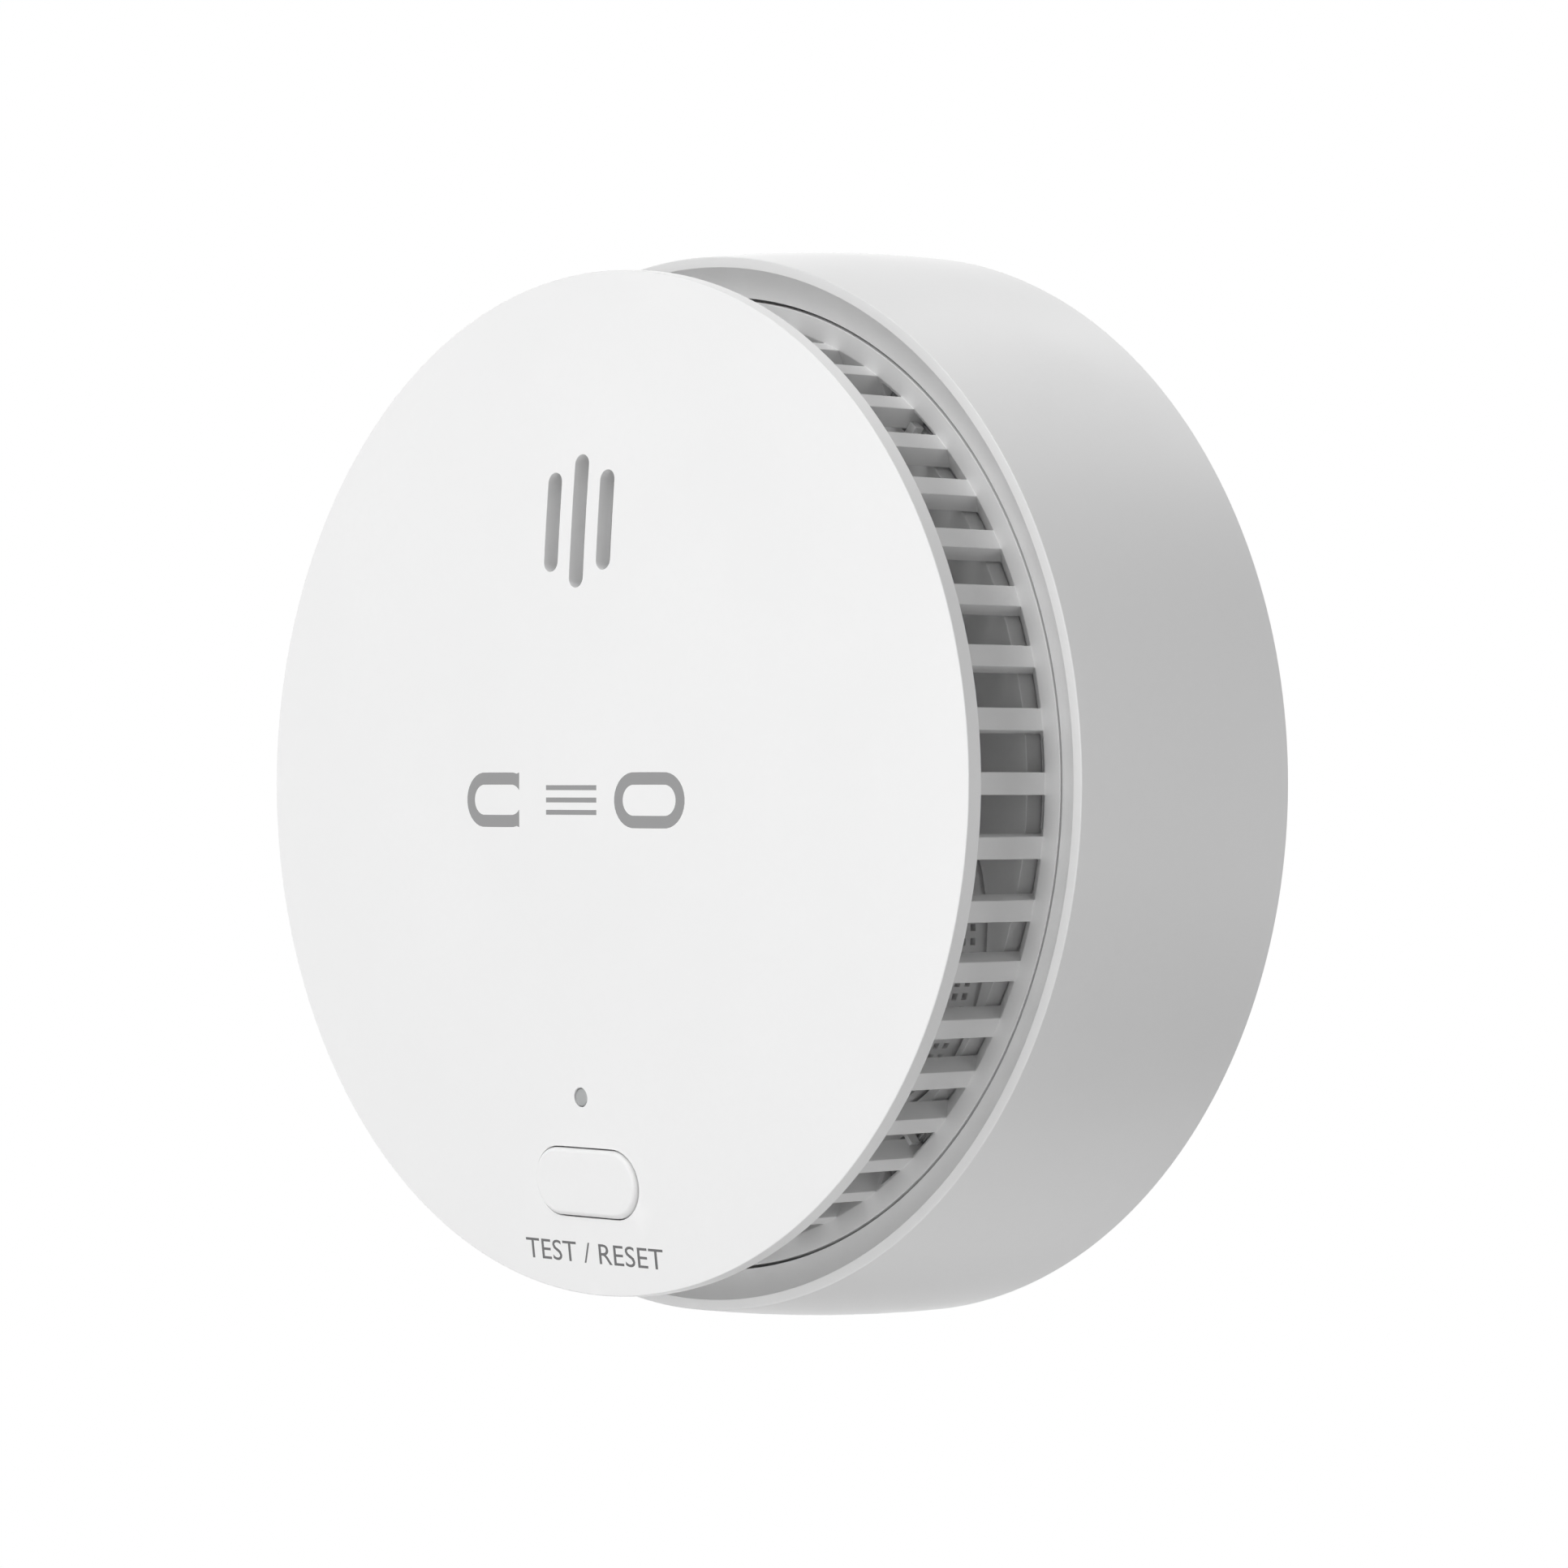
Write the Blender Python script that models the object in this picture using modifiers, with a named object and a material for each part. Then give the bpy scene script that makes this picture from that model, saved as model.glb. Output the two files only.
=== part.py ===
"""Round wall-mounted carbon monoxide detector, modelled as an assembly of separate parts.

Metres, +Z up. The wall is the plane y = 0 and the detector faces -Y. The parts are drawn in the
frame of the wall, under an empty that turns it upright: x to the right, y up the wall and z out of
the wall. A "height" is a distance out of the wall, and the origin is the middle of the back face.
"""

import math

import bmesh
import bpy
from mathutils import Matrix

MODEL_NAME = "carbon_monoxide_detector"
GAP = 0.0003                      # between parts that touch on the real object
OVERLAP = 0.0003                  # how far a welded-on feature reaches into its part
FULL_TURN = math.tau
WIRE_STEPS = 3                    # points on a lead between two of its places

# Driving dimensions
DISC_RADIUS = 0.0520
DISC_CROWN = 0.0037               # rise of the domed face above its own rim
DISC_BAND = 0.00172               # height of the disc's cylindrical edge
SKIN = 0.0019                     # thickness of the domed face
RIM_HEIGHT = 0.0426               # rim of the domed face above the wall
SHELL_BACK_RADIUS = 0.05626
SHELL_LIP_RADIUS = 0.0543
SHELL_WALL = 0.0020
SHELL_BACK_HEIGHT = 0.0008
LIP_HEIGHT = 0.0293
RIB_COUNT = 48
RIB_WIDTH = 0.0022

# Rings and levels that follow from them
LIP_INNER_RADIUS = SHELL_LIP_RADIUS - 0.0011
DISH_RADIUS = 0.05030             # inner edge of the dished ring inside the lip
DISH_HEIGHT = LIP_HEIGHT - 0.0017
FRAME_RADIUS = DISH_RADIUS - GAP
RIB_RADIUS = 0.0478
RIB_DEPTH = 0.00235
SILL_HEIGHT = DISH_HEIGHT - 0.00013
DECK_RADIUS = RIB_RADIUS - RIB_DEPTH - GAP
DECK_TOP = SILL_HEIGHT - 0.00032
LEDGE_TOP = 0.0247
LEDGE_THICKNESS = 0.0018
LEDGE_RADIUS = 0.0435
DECK_BOTTOM = LEDGE_TOP + GAP
DISC_UNDERSIDE = RIM_HEIGHT - DISC_BAND
FRAME_TOP = DISC_UNDERSIDE - GAP
FRAME_RING = 0.0015               # height of the ring that joins the ribs under the disc
SILL_DROP = 0.00215               # fall of the sloping sill between two ribs, outside to inside
SILL_SLOT = (0.0459, 0.0474)      # radii of the slots in the sill
SILL_SLOT_SPAN = 11               # degrees
SILL_SLOT_ANGLES = (0, 52.5, 127.5, 180, 232.5, 307.5)

# Back of the detector and its wall bracket
BRACKET_RADIUS = 0.0500
BRACKET_PLATE = 0.0016
BRACKET_COLLAR = (0.0430, 0.0450)
BRACKET_COLLAR_TOP = 0.0047
LUG_REACH = 0.0035
LUG_THICKNESS = 0.0014
LUG_ANGLES = (30, 150, 270)
LUG_SPAN = 14                     # degrees
HOOK_SPAN = 12                    # degrees
HOOK_THICKNESS = 0.0011
STOP_SPAN = 3                     # degrees
SCREW_SLOT = (0.0140, 0.0048)
SCREW_SLOT_RADIUS = 0.0300
BASE_PLATE = (0.0052, 0.0068)
BASE_RADIUS = 0.0536
BASE_SKIRT_RADIUS = BRACKET_RADIUS + 0.0006

# Board and what it carries
BOARD = (0.0174, 0.0190)
BOARD_RADIUS = 0.0460
BOARD_PARTS = BOARD[1] + GAP      # height at which parts on the board start
BOARD_SCREWS = ((-0.012, -0.022), (0.038, -0.002), (0.008, 0.038))
BOARD_SCREW_RADIUS = 0.0009
BOSS_ANGLES = (25, 140, 250)
BOSS_CIRCLE = 0.0400
BOSS_RADIUS = 0.0030
PILOT_RADIUS = 0.0015

# Face features, as (x, y) on the face
SLOT_WIDTH = 0.00208
SOUND_SLOTS = ((0.0, 0.0198, 0.0333), (-0.00393, 0.0215, 0.0316), (0.00393, 0.0215, 0.0316))
LED_CENTRE = (0.0, -0.0318)
PIPE_TIP_RADIUS = 0.0009
PIPE_RADIUS = 0.0017
PIPE_FOOT = 0.0224
BUTTON_CENTRE = (0.0, -0.0405)
BUTTON_SIZE = (0.0151, 0.0069)
BUTTON_PROUD = 0.00045
STEM_RADIUS = 0.0016
PLUNGER_RADIUS = 0.00165
PLUNGER_TOP = 0.0240
STEM_END = PLUNGER_TOP + GAP

SENSOR_CENTRE = (0.0190, -0.0141)
CAGE_RADIUS = 0.0205
CAGE_WALL = 0.0010
CAGE_TOP = 0.0366
CELL_RADIUS = 0.0100
CELL_PIN_RADIUS = 0.0005
SOUNDER_CENTRE = (0.0, 0.0265)
SOUNDER_RADIUS = 0.0152
CONTACT_RADIUS = 0.0005
BATTERY_RADIUS = 0.0084
BATTERY_LENGTH = 0.0345
BATTERY_X = -0.0300
BATTERY_HEIGHT = 0.0160


# ---------------------------------------------------------------- helpers

def clear_scene():
    for thing in list(bpy.data.objects):
        bpy.data.objects.remove(thing, do_unlink=True)


def new_collection(name):
    group = bpy.data.collections.new(name)
    bpy.context.scene.collection.children.link(group)
    return group


def new_empty(name, parent=None, location=(0, 0, 0), rotation=(0, 0, 0)):
    empty = bpy.data.objects.new(name, None)
    empty.location = location
    empty.rotation_euler = rotation
    empty.parent = parent
    PARTS.objects.link(empty)
    return empty


def plastic(name, colour, roughness=0.5, metallic=0.0):
    finish = bpy.data.materials.new(name)
    finish.use_nodes = True
    shader = finish.node_tree.nodes["Principled BSDF"]
    shader.inputs["Base Color"].default_value = (*colour, 1.0)
    shader.inputs["Roughness"].default_value = roughness
    shader.inputs["Metallic"].default_value = metallic
    return finish


def add_object(name, mesh, location, parent, finish):
    """Put a mesh in the model, or among the cutters where it has no finish."""
    thing = bpy.data.objects.new(name, mesh)
    thing.location = location
    thing.parent = parent
    if finish is None:
        CUTTERS.objects.link(thing)
        thing.hide_render = True
        thing.display_type = "WIRE"
    else:
        PARTS.objects.link(thing)
        mesh.materials.append(finish)
    return thing


def mesh_from(name, maker):
    bm = bmesh.new()
    maker(bm)
    mesh = bpy.data.meshes.new(name)
    bm.to_mesh(mesh)
    bm.free()
    mesh.shade_smooth()
    mesh.set_sharp_from_angle(angle=math.radians(35))
    return mesh


def cylinder(name, radius, low, high, centre=(0, 0), parent=None, finish=None, segments=24):
    """A round piece between two heights."""
    depth = high - low

    def make(bm):
        bmesh.ops.create_cone(bm, cap_ends=True, segments=segments,
                              radius1=radius, radius2=radius, depth=depth)

    place = (centre[0], centre[1], low + depth / 2)
    return add_object(name, mesh_from(name, make), place, parent, finish)


def block(name, size, low, high, centre=(0, 0), parent=None, finish=None):
    """A rectangular piece of size (x, y) between two heights."""
    depth = high - low

    def make(bm):
        bmesh.ops.create_cube(bm, size=1.0, matrix=Matrix.Diagonal((size[0], size[1], depth, 1)))

    place = (centre[0], centre[1], low + depth / 2)
    return add_object(name, mesh_from(name, make), place, parent, finish)


def turned(name, profile, parent=None, finish=None, centre=(0, 0), steps=72, ring=False):
    """A profile of (radius, height) turned about the axis at centre; a ring's profile is closed."""
    count = len(profile)
    edges = [(i, i + 1) for i in range(count - 1)]
    if ring:
        edges.append((count - 1, 0))
    mesh = bpy.data.meshes.new(name)
    mesh.from_pydata([(radius, 0, height) for radius, height in profile], edges, [])
    thing = add_object(name, mesh, (centre[0], centre[1], 0), parent, finish)
    screw = thing.modifiers.new("Turn", "SCREW")
    screw.axis = "Z"
    screw.angle = FULL_TURN
    screw.steps = steps
    screw.render_steps = steps
    screw.use_merge_vertices = True
    screw.merge_threshold = 0.00001
    screw.use_smooth_shade = True
    return thing


def mesh_of_curve(name, thing):
    """The closed mesh of a curve object, which is then removed."""
    bpy.context.view_layer.update()
    graph = bpy.context.evaluated_depsgraph_get()
    mesh = bpy.data.meshes.new_from_object(thing.evaluated_get(graph))
    mesh.name = name
    bm = bmesh.new()
    bm.from_mesh(mesh)
    bmesh.ops.remove_doubles(bm, verts=bm.verts, dist=0.00001)
    bmesh.ops.recalc_face_normals(bm, faces=bm.faces)
    bm.to_mesh(mesh)
    bm.free()
    mesh.materials.clear()
    mesh.shade_smooth()
    mesh.set_sharp_from_angle(angle=math.radians(35))
    bpy.data.objects.remove(thing, do_unlink=True)
    return mesh


def poly_curve(name, points, cyclic):
    curve = bpy.data.curves.new(name, "CURVE")
    spline = curve.splines.new("POLY")
    spline.points.add(len(points) - 1)
    for point, place in zip(spline.points, points):
        point.co = (*place, 1.0)
    spline.use_cyclic_u = cyclic
    thing = bpy.data.objects.new(name, curve)
    CUTTERS.objects.link(thing)
    return thing


def prism(name, outline, low, high, centre=(0, 0), parent=None, finish=None):
    """A flat outline of (x, y) points, made solid between two heights."""
    thing = poly_curve(name, [(x, y, 0.0) for x, y in outline], cyclic=True)
    thing.data.dimensions = "2D"
    thing.data.fill_mode = "BOTH"
    thing.data.extrude = (high - low) / 2
    place = (centre[0], centre[1], (low + high) / 2)
    return add_object(name, mesh_of_curve(name, thing), place, parent, finish)


def wire(name, points, radius, parent, finish):
    """A round wire through (x, y, height) points, eased by Catmull-Rom curves between them."""
    ends = [points[0], *points, points[-1]]
    path = []
    for a, b, c, d in zip(ends, ends[1:], ends[2:], ends[3:]):
        for step in range(WIRE_STEPS):
            t = step / WIRE_STEPS
            path.append(tuple(
                0.5 * (2 * q + (r - p) * t + (2 * p - 5 * q + 4 * r - s) * t ** 2
                       + (3 * q - p - 3 * r + s) * t ** 3)
                for p, q, r, s in zip(a, b, c, d)))
    path.append(points[-1])
    thing = poly_curve(name, path, cyclic=False)
    thing.data.dimensions = "3D"
    thing.data.bevel_depth = radius
    thing.data.bevel_resolution = 2
    thing.data.use_fill_caps = True
    return add_object(name, mesh_of_curve(name, thing), (0, 0, 0), parent, finish)


def combine(part, tool, operation):
    modifier = part.modifiers.new(tool.name, "BOOLEAN")
    modifier.operation = operation
    modifier.solver = "EXACT"
    modifier.object = tool


def cut(part, tool):
    combine(part, tool, "DIFFERENCE")


def weld(part, tool):
    combine(part, tool, "UNION")


def drill(part, label, radius, low, high, centre, parent, segments=16):
    cut(part, cylinder(f"cut_{label}", radius, low, high, centre, parent, segments=segments))


def polar(radius, degrees):
    angle = math.radians(degrees)
    return (radius * math.cos(angle), radius * math.sin(angle))


def sector(inner, outer, middle, span, steps=4):
    """Outline of a piece of a ring, about a middle angle, in degrees."""
    angles = [middle - span / 2 + span * i / steps for i in range(steps + 1)]
    return [polar(outer, a) for a in angles] + [polar(inner, a) for a in reversed(angles)]


def stadium(width, height, steps=6):
    """Outline of a flat-sided oval; the longer way has round ends."""
    radius = min(width, height) / 2
    reach_x = width / 2 - radius
    reach_y = height / 2 - radius
    upright = height > width
    points = []
    for side in range(2):
        for i in range(steps + 1):
            angle = math.pi * (side + i / steps) - (0 if upright else math.pi / 2)
            sign = 1 if side == 0 else -1
            points.append((sign * reach_x + radius * math.cos(angle),
                           sign * reach_y + radius * math.sin(angle)))
    return points


def face_height(radius):
    """Height of the domed face at a radius."""
    return RIM_HEIGHT + DISC_CROWN * (1 - (radius / DISC_RADIUS) ** 2)


def spread(start, end, steps):
    return [start + (end - start) * i / steps for i in range(steps + 1)]


# ---------------------------------------------------------------- wall bracket and rear base

def make_bracket(parent):
    inner, outer = BRACKET_COLLAR
    bracket = turned("mounting_bracket", [
        (0, BRACKET_PLATE), (inner, BRACKET_PLATE), (inner, BRACKET_COLLAR_TOP),
        (outer, BRACKET_COLLAR_TOP), (outer, BRACKET_PLATE),
        (BRACKET_RADIUS, BRACKET_PLATE), (BRACKET_RADIUS, 0), (0, 0)], parent, WHITE_ABS, steps=48)
    reach = outer + LUG_REACH
    for number, angle in enumerate(LUG_ANGLES):
        lug = sector(outer - OVERLAP, reach, angle, LUG_SPAN)
        weld(bracket, prism(f"add_lug_{number}", lug, BRACKET_COLLAR_TOP - LUG_THICKNESS,
                            BRACKET_COLLAR_TOP - 0.0001, parent=parent))
        stop_angle = angle - LUG_SPAN / 2 - STOP_SPAN / 2 + 0.5
        stop = sector(outer - OVERLAP, reach - 0.0002, stop_angle, STOP_SPAN)
        weld(bracket, prism(f"add_stop_{number}", stop, BRACKET_PLATE - OVERLAP,
                            BRACKET_COLLAR_TOP - 0.0002, parent=parent))
    length, width = SCREW_SLOT
    for number, angle in enumerate((0, 90, 180, 270)):
        size = (width, length) if angle % 180 == 0 else (length, width)
        cut(bracket, prism(f"cut_screw_slot_{number}", stadium(*size), -0.001,
                           BRACKET_PLATE + 0.001, polar(SCREW_SLOT_RADIUS, angle), parent))


def make_base(parent):
    low, high = BASE_PLATE
    base = turned("rear_base", [
        (0, high), (BASE_RADIUS, high), (BASE_RADIUS, SHELL_BACK_HEIGHT),
        (BASE_SKIRT_RADIUS, SHELL_BACK_HEIGHT), (BASE_SKIRT_RADIUS, low), (0, low)],
        parent, WHITE_ABS, steps=48)
    hook_low = BRACKET_PLATE + GAP
    for number, angle in enumerate(LUG_ANGLES):
        hook = sector(BRACKET_COLLAR[1] + 0.0006, BASE_SKIRT_RADIUS + OVERLAP, angle, HOOK_SPAN)
        weld(base, prism(f"add_hook_{number}", hook, hook_low, hook_low + HOOK_THICKNESS,
                         parent=parent))
    for number, centre in enumerate(BOARD_SCREWS):
        weld(base, cylinder(f"add_board_post_{number}", 0.0023, high - OVERLAP, BOARD[0] - GAP,
                            centre, parent))
        drill(base, f"post_pilot_{number}", BOARD_SCREW_RADIUS + GAP, 0.0100, BOARD[0], centre,
              parent)
    for number, angle in enumerate(BOSS_ANGLES):
        drill(base, f"base_screw_{number}", PILOT_RADIUS, low - 0.001, high + 0.001,
              polar(BOSS_CIRCLE, angle), parent)


def make_base_screws(parent):
    head_top = BASE_PLATE[0] - GAP
    for number, angle in enumerate(BOSS_ANGLES, start=1):
        turned(f"base_screw_{number}", [
            (0, 0.0160), (0.0008, 0.0160), (PILOT_RADIUS - GAP, 0.0150), (PILOT_RADIUS - GAP, head_top),
            (0.0026, head_top), (0.0024, 0.0036), (0, 0.0034)],
            parent, STEEL, polar(BOSS_CIRCLE, angle), steps=12)


def make_label(parent):
    top = BASE_PLATE[0] - GAP
    block("rear_label", (0.052, 0.032), top - 0.0003, top, (0, 0), parent, LABEL_FILM)


# ---------------------------------------------------------------- outer housing and grille

def make_shell(parent):
    height = LIP_HEIGHT - SHELL_BACK_HEIGHT

    def outer_radius(level):
        lean = (level - SHELL_BACK_HEIGHT) / height
        return SHELL_BACK_RADIUS - (SHELL_BACK_RADIUS - SHELL_LIP_RADIUS) * lean ** 2

    outside = [(outer_radius(z), z) for z in spread(LIP_HEIGHT, SHELL_BACK_HEIGHT, 4)]
    ledge_bottom = LEDGE_TOP - LEDGE_THICKNESS
    inside = [(outer_radius(z) - SHELL_WALL, z) for z in spread(SHELL_BACK_HEIGHT, ledge_bottom, 2)]
    dish = []
    for t in spread(0, 1, 3)[:-1]:
        dish.append((DISH_RADIUS + (LIP_INNER_RADIUS - DISH_RADIUS) * t ** 1.4,
                     DISH_HEIGHT + (LIP_HEIGHT - DISH_HEIGHT) * t ** 2.2))
    profile = outside + inside + [
        (LEDGE_RADIUS, ledge_bottom), (LEDGE_RADIUS, LEDGE_TOP), (DISH_RADIUS, LEDGE_TOP)]
    profile += dish + [(LIP_INNER_RADIUS, LIP_HEIGHT)]
    shell = turned("housing_shell", profile, parent, WHITE_ABS, ring=True)
    for slot in sill_slots(parent, "ledge"):
        cut(shell, slot)


def sill_slots(parent, label):
    """Cutters for the slots that pass through the sill and the ledge under it."""
    outline = [sector(*SILL_SLOT, angle, SILL_SLOT_SPAN) for angle in SILL_SLOT_ANGLES]
    return [prism(f"cut_{label}_slot_{number}", shape, LEDGE_TOP - 0.0030, SILL_HEIGHT,
                  parent=parent) for number, shape in enumerate(outline)]


def make_vent_frame(parent):
    inner = RIB_RADIUS - RIB_DEPTH
    frame = turned("vent_frame", [
        (RIB_RADIUS, FRAME_TOP), (RIB_RADIUS, SILL_HEIGHT), (FRAME_RADIUS, DISH_HEIGHT),
        (FRAME_RADIUS, DECK_BOTTOM), (inner, DECK_BOTTOM), (inner, FRAME_TOP)],
        parent, GRILLE_ABS, steps=48, ring=True)
    pitch = FULL_TURN / RIB_COUNT
    opening = RIB_RADIUS * pitch - RIB_WIDTH
    reach = 1.6 * RIB_DEPTH
    low = SILL_HEIGHT - SILL_DROP * reach / RIB_DEPTH
    high = FRAME_TOP - FRAME_RING

    def make(bm):
        for number in range(RIB_COUNT):
            place = (Matrix.Rotation(pitch * (number + 0.5), 4, "Z")
                     @ Matrix.Translation((RIB_RADIUS - reach / 2, 0, (low + high) / 2))
                     @ Matrix.Diagonal((reach, opening, high - low, 1)))
            bmesh.ops.create_cube(bm, size=1.0, matrix=place)
        for vert in bm.verts:
            outside = math.hypot(vert.co.x, vert.co.y) > RIB_RADIUS - reach / 2
            if outside and vert.co.z < SILL_HEIGHT:
                vert.co.z = SILL_HEIGHT + 0.0001

    cut(frame, add_object("cut_vents", mesh_from("cut_vents", make), (0, 0, 0), parent, None))
    for slot in sill_slots(parent, "sill"):
        cut(frame, slot)


def make_deck(parent):
    """The floor seen through the vents, with the screw bosses that pull it to the rear base."""
    deck = cylinder("inner_deck", DECK_RADIUS, DECK_BOTTOM, DECK_TOP, (0, 0), parent, GRILLE_ABS,
                    segments=72)
    for number, angle in enumerate(BOSS_ANGLES):
        centre = polar(BOSS_CIRCLE, angle)
        weld(deck, cylinder(f"add_boss_{number}", BOSS_RADIUS, BASE_PLATE[1] + GAP,
                            DECK_BOTTOM + OVERLAP, centre, parent, segments=20))
        drill(deck, f"boss_pilot_{number}", PILOT_RADIUS, BASE_PLATE[1] - 0.001, 0.0200, centre,
              parent)
    low, high = DECK_BOTTOM - 0.002, DECK_TOP + 0.002
    drill(deck, "cage_opening", CAGE_RADIUS + GAP, low, high, SENSOR_CENTRE, parent, 48)
    drill(deck, "stem_way", STEM_RADIUS + 2 * GAP, low, high, BUTTON_CENTRE, parent)
    drill(deck, "light_way", PIPE_RADIUS + GAP, low, high, LED_CENTRE, parent)
    for number, centre in enumerate(sounder_contacts()):
        drill(deck, f"contact_way_{number}", CONTACT_RADIUS + GAP, low, high, centre, parent, 12)


def make_cover(parent):
    dome_radius = 0.0445              # where the hollow of the dome meets the flat rim
    face = [(r, face_height(r)) for r in spread(0, DISC_RADIUS, 6)]
    edge = [(DISC_RADIUS + 0.0001, DISC_UNDERSIDE), (dome_radius + 0.0006, DISC_UNDERSIDE)]
    underside = [(r, face_height(r) - SKIN) for r in spread(dome_radius, 0, 3)]
    cover = turned("front_cover", face + edge + underside, parent, WHITE_ABS)
    low, high = DISC_UNDERSIDE - 0.0005, face_height(0) + 0.001
    for number, (x, bottom, top) in enumerate(SOUND_SLOTS):
        outline = stadium(SLOT_WIDTH, top - bottom)
        cut(cover, prism(f"cut_sound_slot_{number}", outline, low, high,
                         (x, (bottom + top) / 2), parent))
    drill(cover, "led_hole", PIPE_TIP_RADIUS + GAP, low, high, LED_CENTRE, parent)
    opening = stadium(BUTTON_SIZE[0] + 2 * GAP, BUTTON_SIZE[1] + 2 * GAP)
    cut(cover, prism("cut_button_hole", opening, low, high, BUTTON_CENTRE, parent))


# ---------------------------------------------------------------- button, switch and lamp

def make_button(parent):
    """Parts of the button are drawn about the middle of the button, where their empty stands."""
    width, height = BUTTON_SIZE
    ear_top = 0.0413
    button = prism("test_button", stadium(width, height), ear_top - 0.0006, face_height(0) + 0.001,
                   (0, 0), parent, WHITE_ABS)
    raised = [(r, face_height(r) + BUTTON_PROUD) for r in spread(0, DISC_RADIUS, 24)]
    low = ear_top - 0.01
    dome = turned("keep_button_top", raised + [(DISC_RADIUS, low), (0, low)], parent,
                  centre=(-BUTTON_CENTRE[0], -BUTTON_CENTRE[1]))
    combine(button, dome, "INTERSECT")
    weld(button, block("add_button_ears", (0.0190, 0.0060), ear_top - 0.0010, ear_top,
                       (0, 0), parent))
    weld(button, cylinder("add_button_stem", STEM_RADIUS, STEM_END, ear_top - 0.0007, (0, 0), parent))


def make_switch(fixed, moving):
    top = 0.0226
    plunger_low = 0.0206
    body = block("tact_switch_body", (0.0060, 0.0060), BOARD_PARTS, top, BUTTON_CENTRE,
                 fixed, BLACK_PLASTIC)
    drill(body, "plunger_way", PLUNGER_RADIUS + GAP, plunger_low - 0.0007, top + 0.001,
          BUTTON_CENTRE, fixed)
    cylinder("tact_switch_plunger", PLUNGER_RADIUS, plunger_low, PLUNGER_TOP, (0, 0), moving,
             BLACK_PLASTIC)


def make_lamp(parent):
    shoulder = 0.0426
    collar = DECK_TOP + GAP
    tip = face_height(LED_CENTRE[1])
    turned("light_pipe", [
        (0, tip), (PIPE_TIP_RADIUS - 0.0002, tip - 0.0001), (PIPE_TIP_RADIUS, tip - 0.0003),
        (PIPE_TIP_RADIUS, shoulder), (PIPE_RADIUS, shoulder), (PIPE_RADIUS, collar + 0.0011),
        (0.0029, collar + 0.0011), (0.0029, collar), (PIPE_RADIUS, collar),
        (PIPE_RADIUS - GAP, PIPE_FOOT), (0, PIPE_FOOT)],
        parent, CLEAR_ACRYLIC, LED_CENTRE, steps=14)
    turned("status_led", [
        (0, 0.0221), (0.0008, 0.0219), (0.0013, 0.0213), (0.0014, 0.0200), (0.0017, 0.0200),
        (0.0017, BOARD_PARTS), (0, BOARD_PARTS)], parent, LED_RESIN, LED_CENTRE, steps=16)


# ---------------------------------------------------------------- circuit board

def make_board(parent):
    board = cylinder("circuit_board", BOARD_RADIUS, *BOARD, (0, 0), parent, BOARD_GREEN,
                     segments=48)
    notch_edge = BATTERY_X + BATTERY_RADIUS + 0.0014
    reach = BOARD_RADIUS + 0.004
    low, high = BOARD[0] - 0.002, BOARD[1] + 0.002
    cut(board, block("cut_battery_notch", (notch_edge + reach, 0.0412), low, high,
                     ((notch_edge - reach) / 2, 0), parent))
    for number, angle in enumerate(BOSS_ANGLES):
        drill(board, f"board_boss_{number}", BOSS_RADIUS + 0.0008, low, high,
              polar(BOSS_CIRCLE, angle), parent)
    for number, centre in enumerate(BOARD_SCREWS):
        drill(board, f"board_screw_{number}", BOARD_SCREW_RADIUS + GAP, low, high, centre, parent, 12)
    for number, centre in enumerate(cell_pins()):
        drill(board, f"cell_pin_{number}", CELL_PIN_RADIUS + GAP, low, high, centre, parent, 12)


def make_board_screws(parent):
    for number, centre in enumerate(BOARD_SCREWS, start=1):
        turned(f"board_screw_{number}", [
            (0, 0.0208), (0.0017, 0.0206), (0.0020, 0.0201), (0.0020, BOARD_PARTS),
            (BOARD_SCREW_RADIUS, BOARD_PARTS), (BOARD_SCREW_RADIUS, 0.0112), (0, 0.0104)],
            parent, STEEL, centre, steps=12)


def make_board_parts(parent):
    block("mcu_chip", (0.0090, 0.0090), BOARD_PARTS, 0.0207, (-0.0060, 0.0080), parent,
          BLACK_PLASTIC)
    turned("sounder_inductor", [
        (0, 0.0239), (0.0048, 0.0239), (0.0050, 0.0236), (0.0050, 0.0230), (0.0040, 0.0226),
        (0.0040, 0.0206), (0.0050, 0.0202), (0.0050, BOARD_PARTS), (0, BOARD_PARTS)],
        parent, FERRITE, (0.0140, 0.0140), steps=16)
    turned("filter_capacitor", [
        (0, 0.0242), (0.0029, 0.0242), (0.0032, 0.0239), (0.0032, BOARD_PARTS),
        (0, BOARD_PARTS)], parent, ALUMINIUM, (0.0240, 0.0300), steps=16)


# ---------------------------------------------------------------- gas sensor and its cage

def cell_pins():
    return [(SENSOR_CENTRE[0] + dx, SENSOR_CENTRE[1] + dy)
            for dx, dy in (polar(0.0050, a) for a in (90, 210, 330))]


def make_sensor(parent):
    can_bottom = 0.0200
    can_top = 0.0340
    turned("co_cell_can", [
        (0, can_top), (CELL_RADIUS - 0.0004, can_top), (CELL_RADIUS, can_top - 0.0004),
        (CELL_RADIUS, can_bottom + 0.0012), (CELL_RADIUS - 0.0008, can_bottom),
        (0, can_bottom)], parent, STEEL, SENSOR_CENTRE, steps=24)
    cap_low = can_top + GAP
    turned("co_cell_cap", [
        (0.0015, 0.0350), (0.0080, 0.0350), (0.0086, 0.0346), (0.0086, cap_low),
        (0.0015, cap_low)], parent, BLACK_PLASTIC, SENSOR_CENTRE, steps=24, ring=True)
    for number, centre in enumerate(cell_pins(), start=1):
        cylinder(f"co_cell_pin_{number}", CELL_PIN_RADIUS, BOARD[0] - 0.0012, can_bottom - GAP,
                 centre, parent, STEEL, segments=10)


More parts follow.
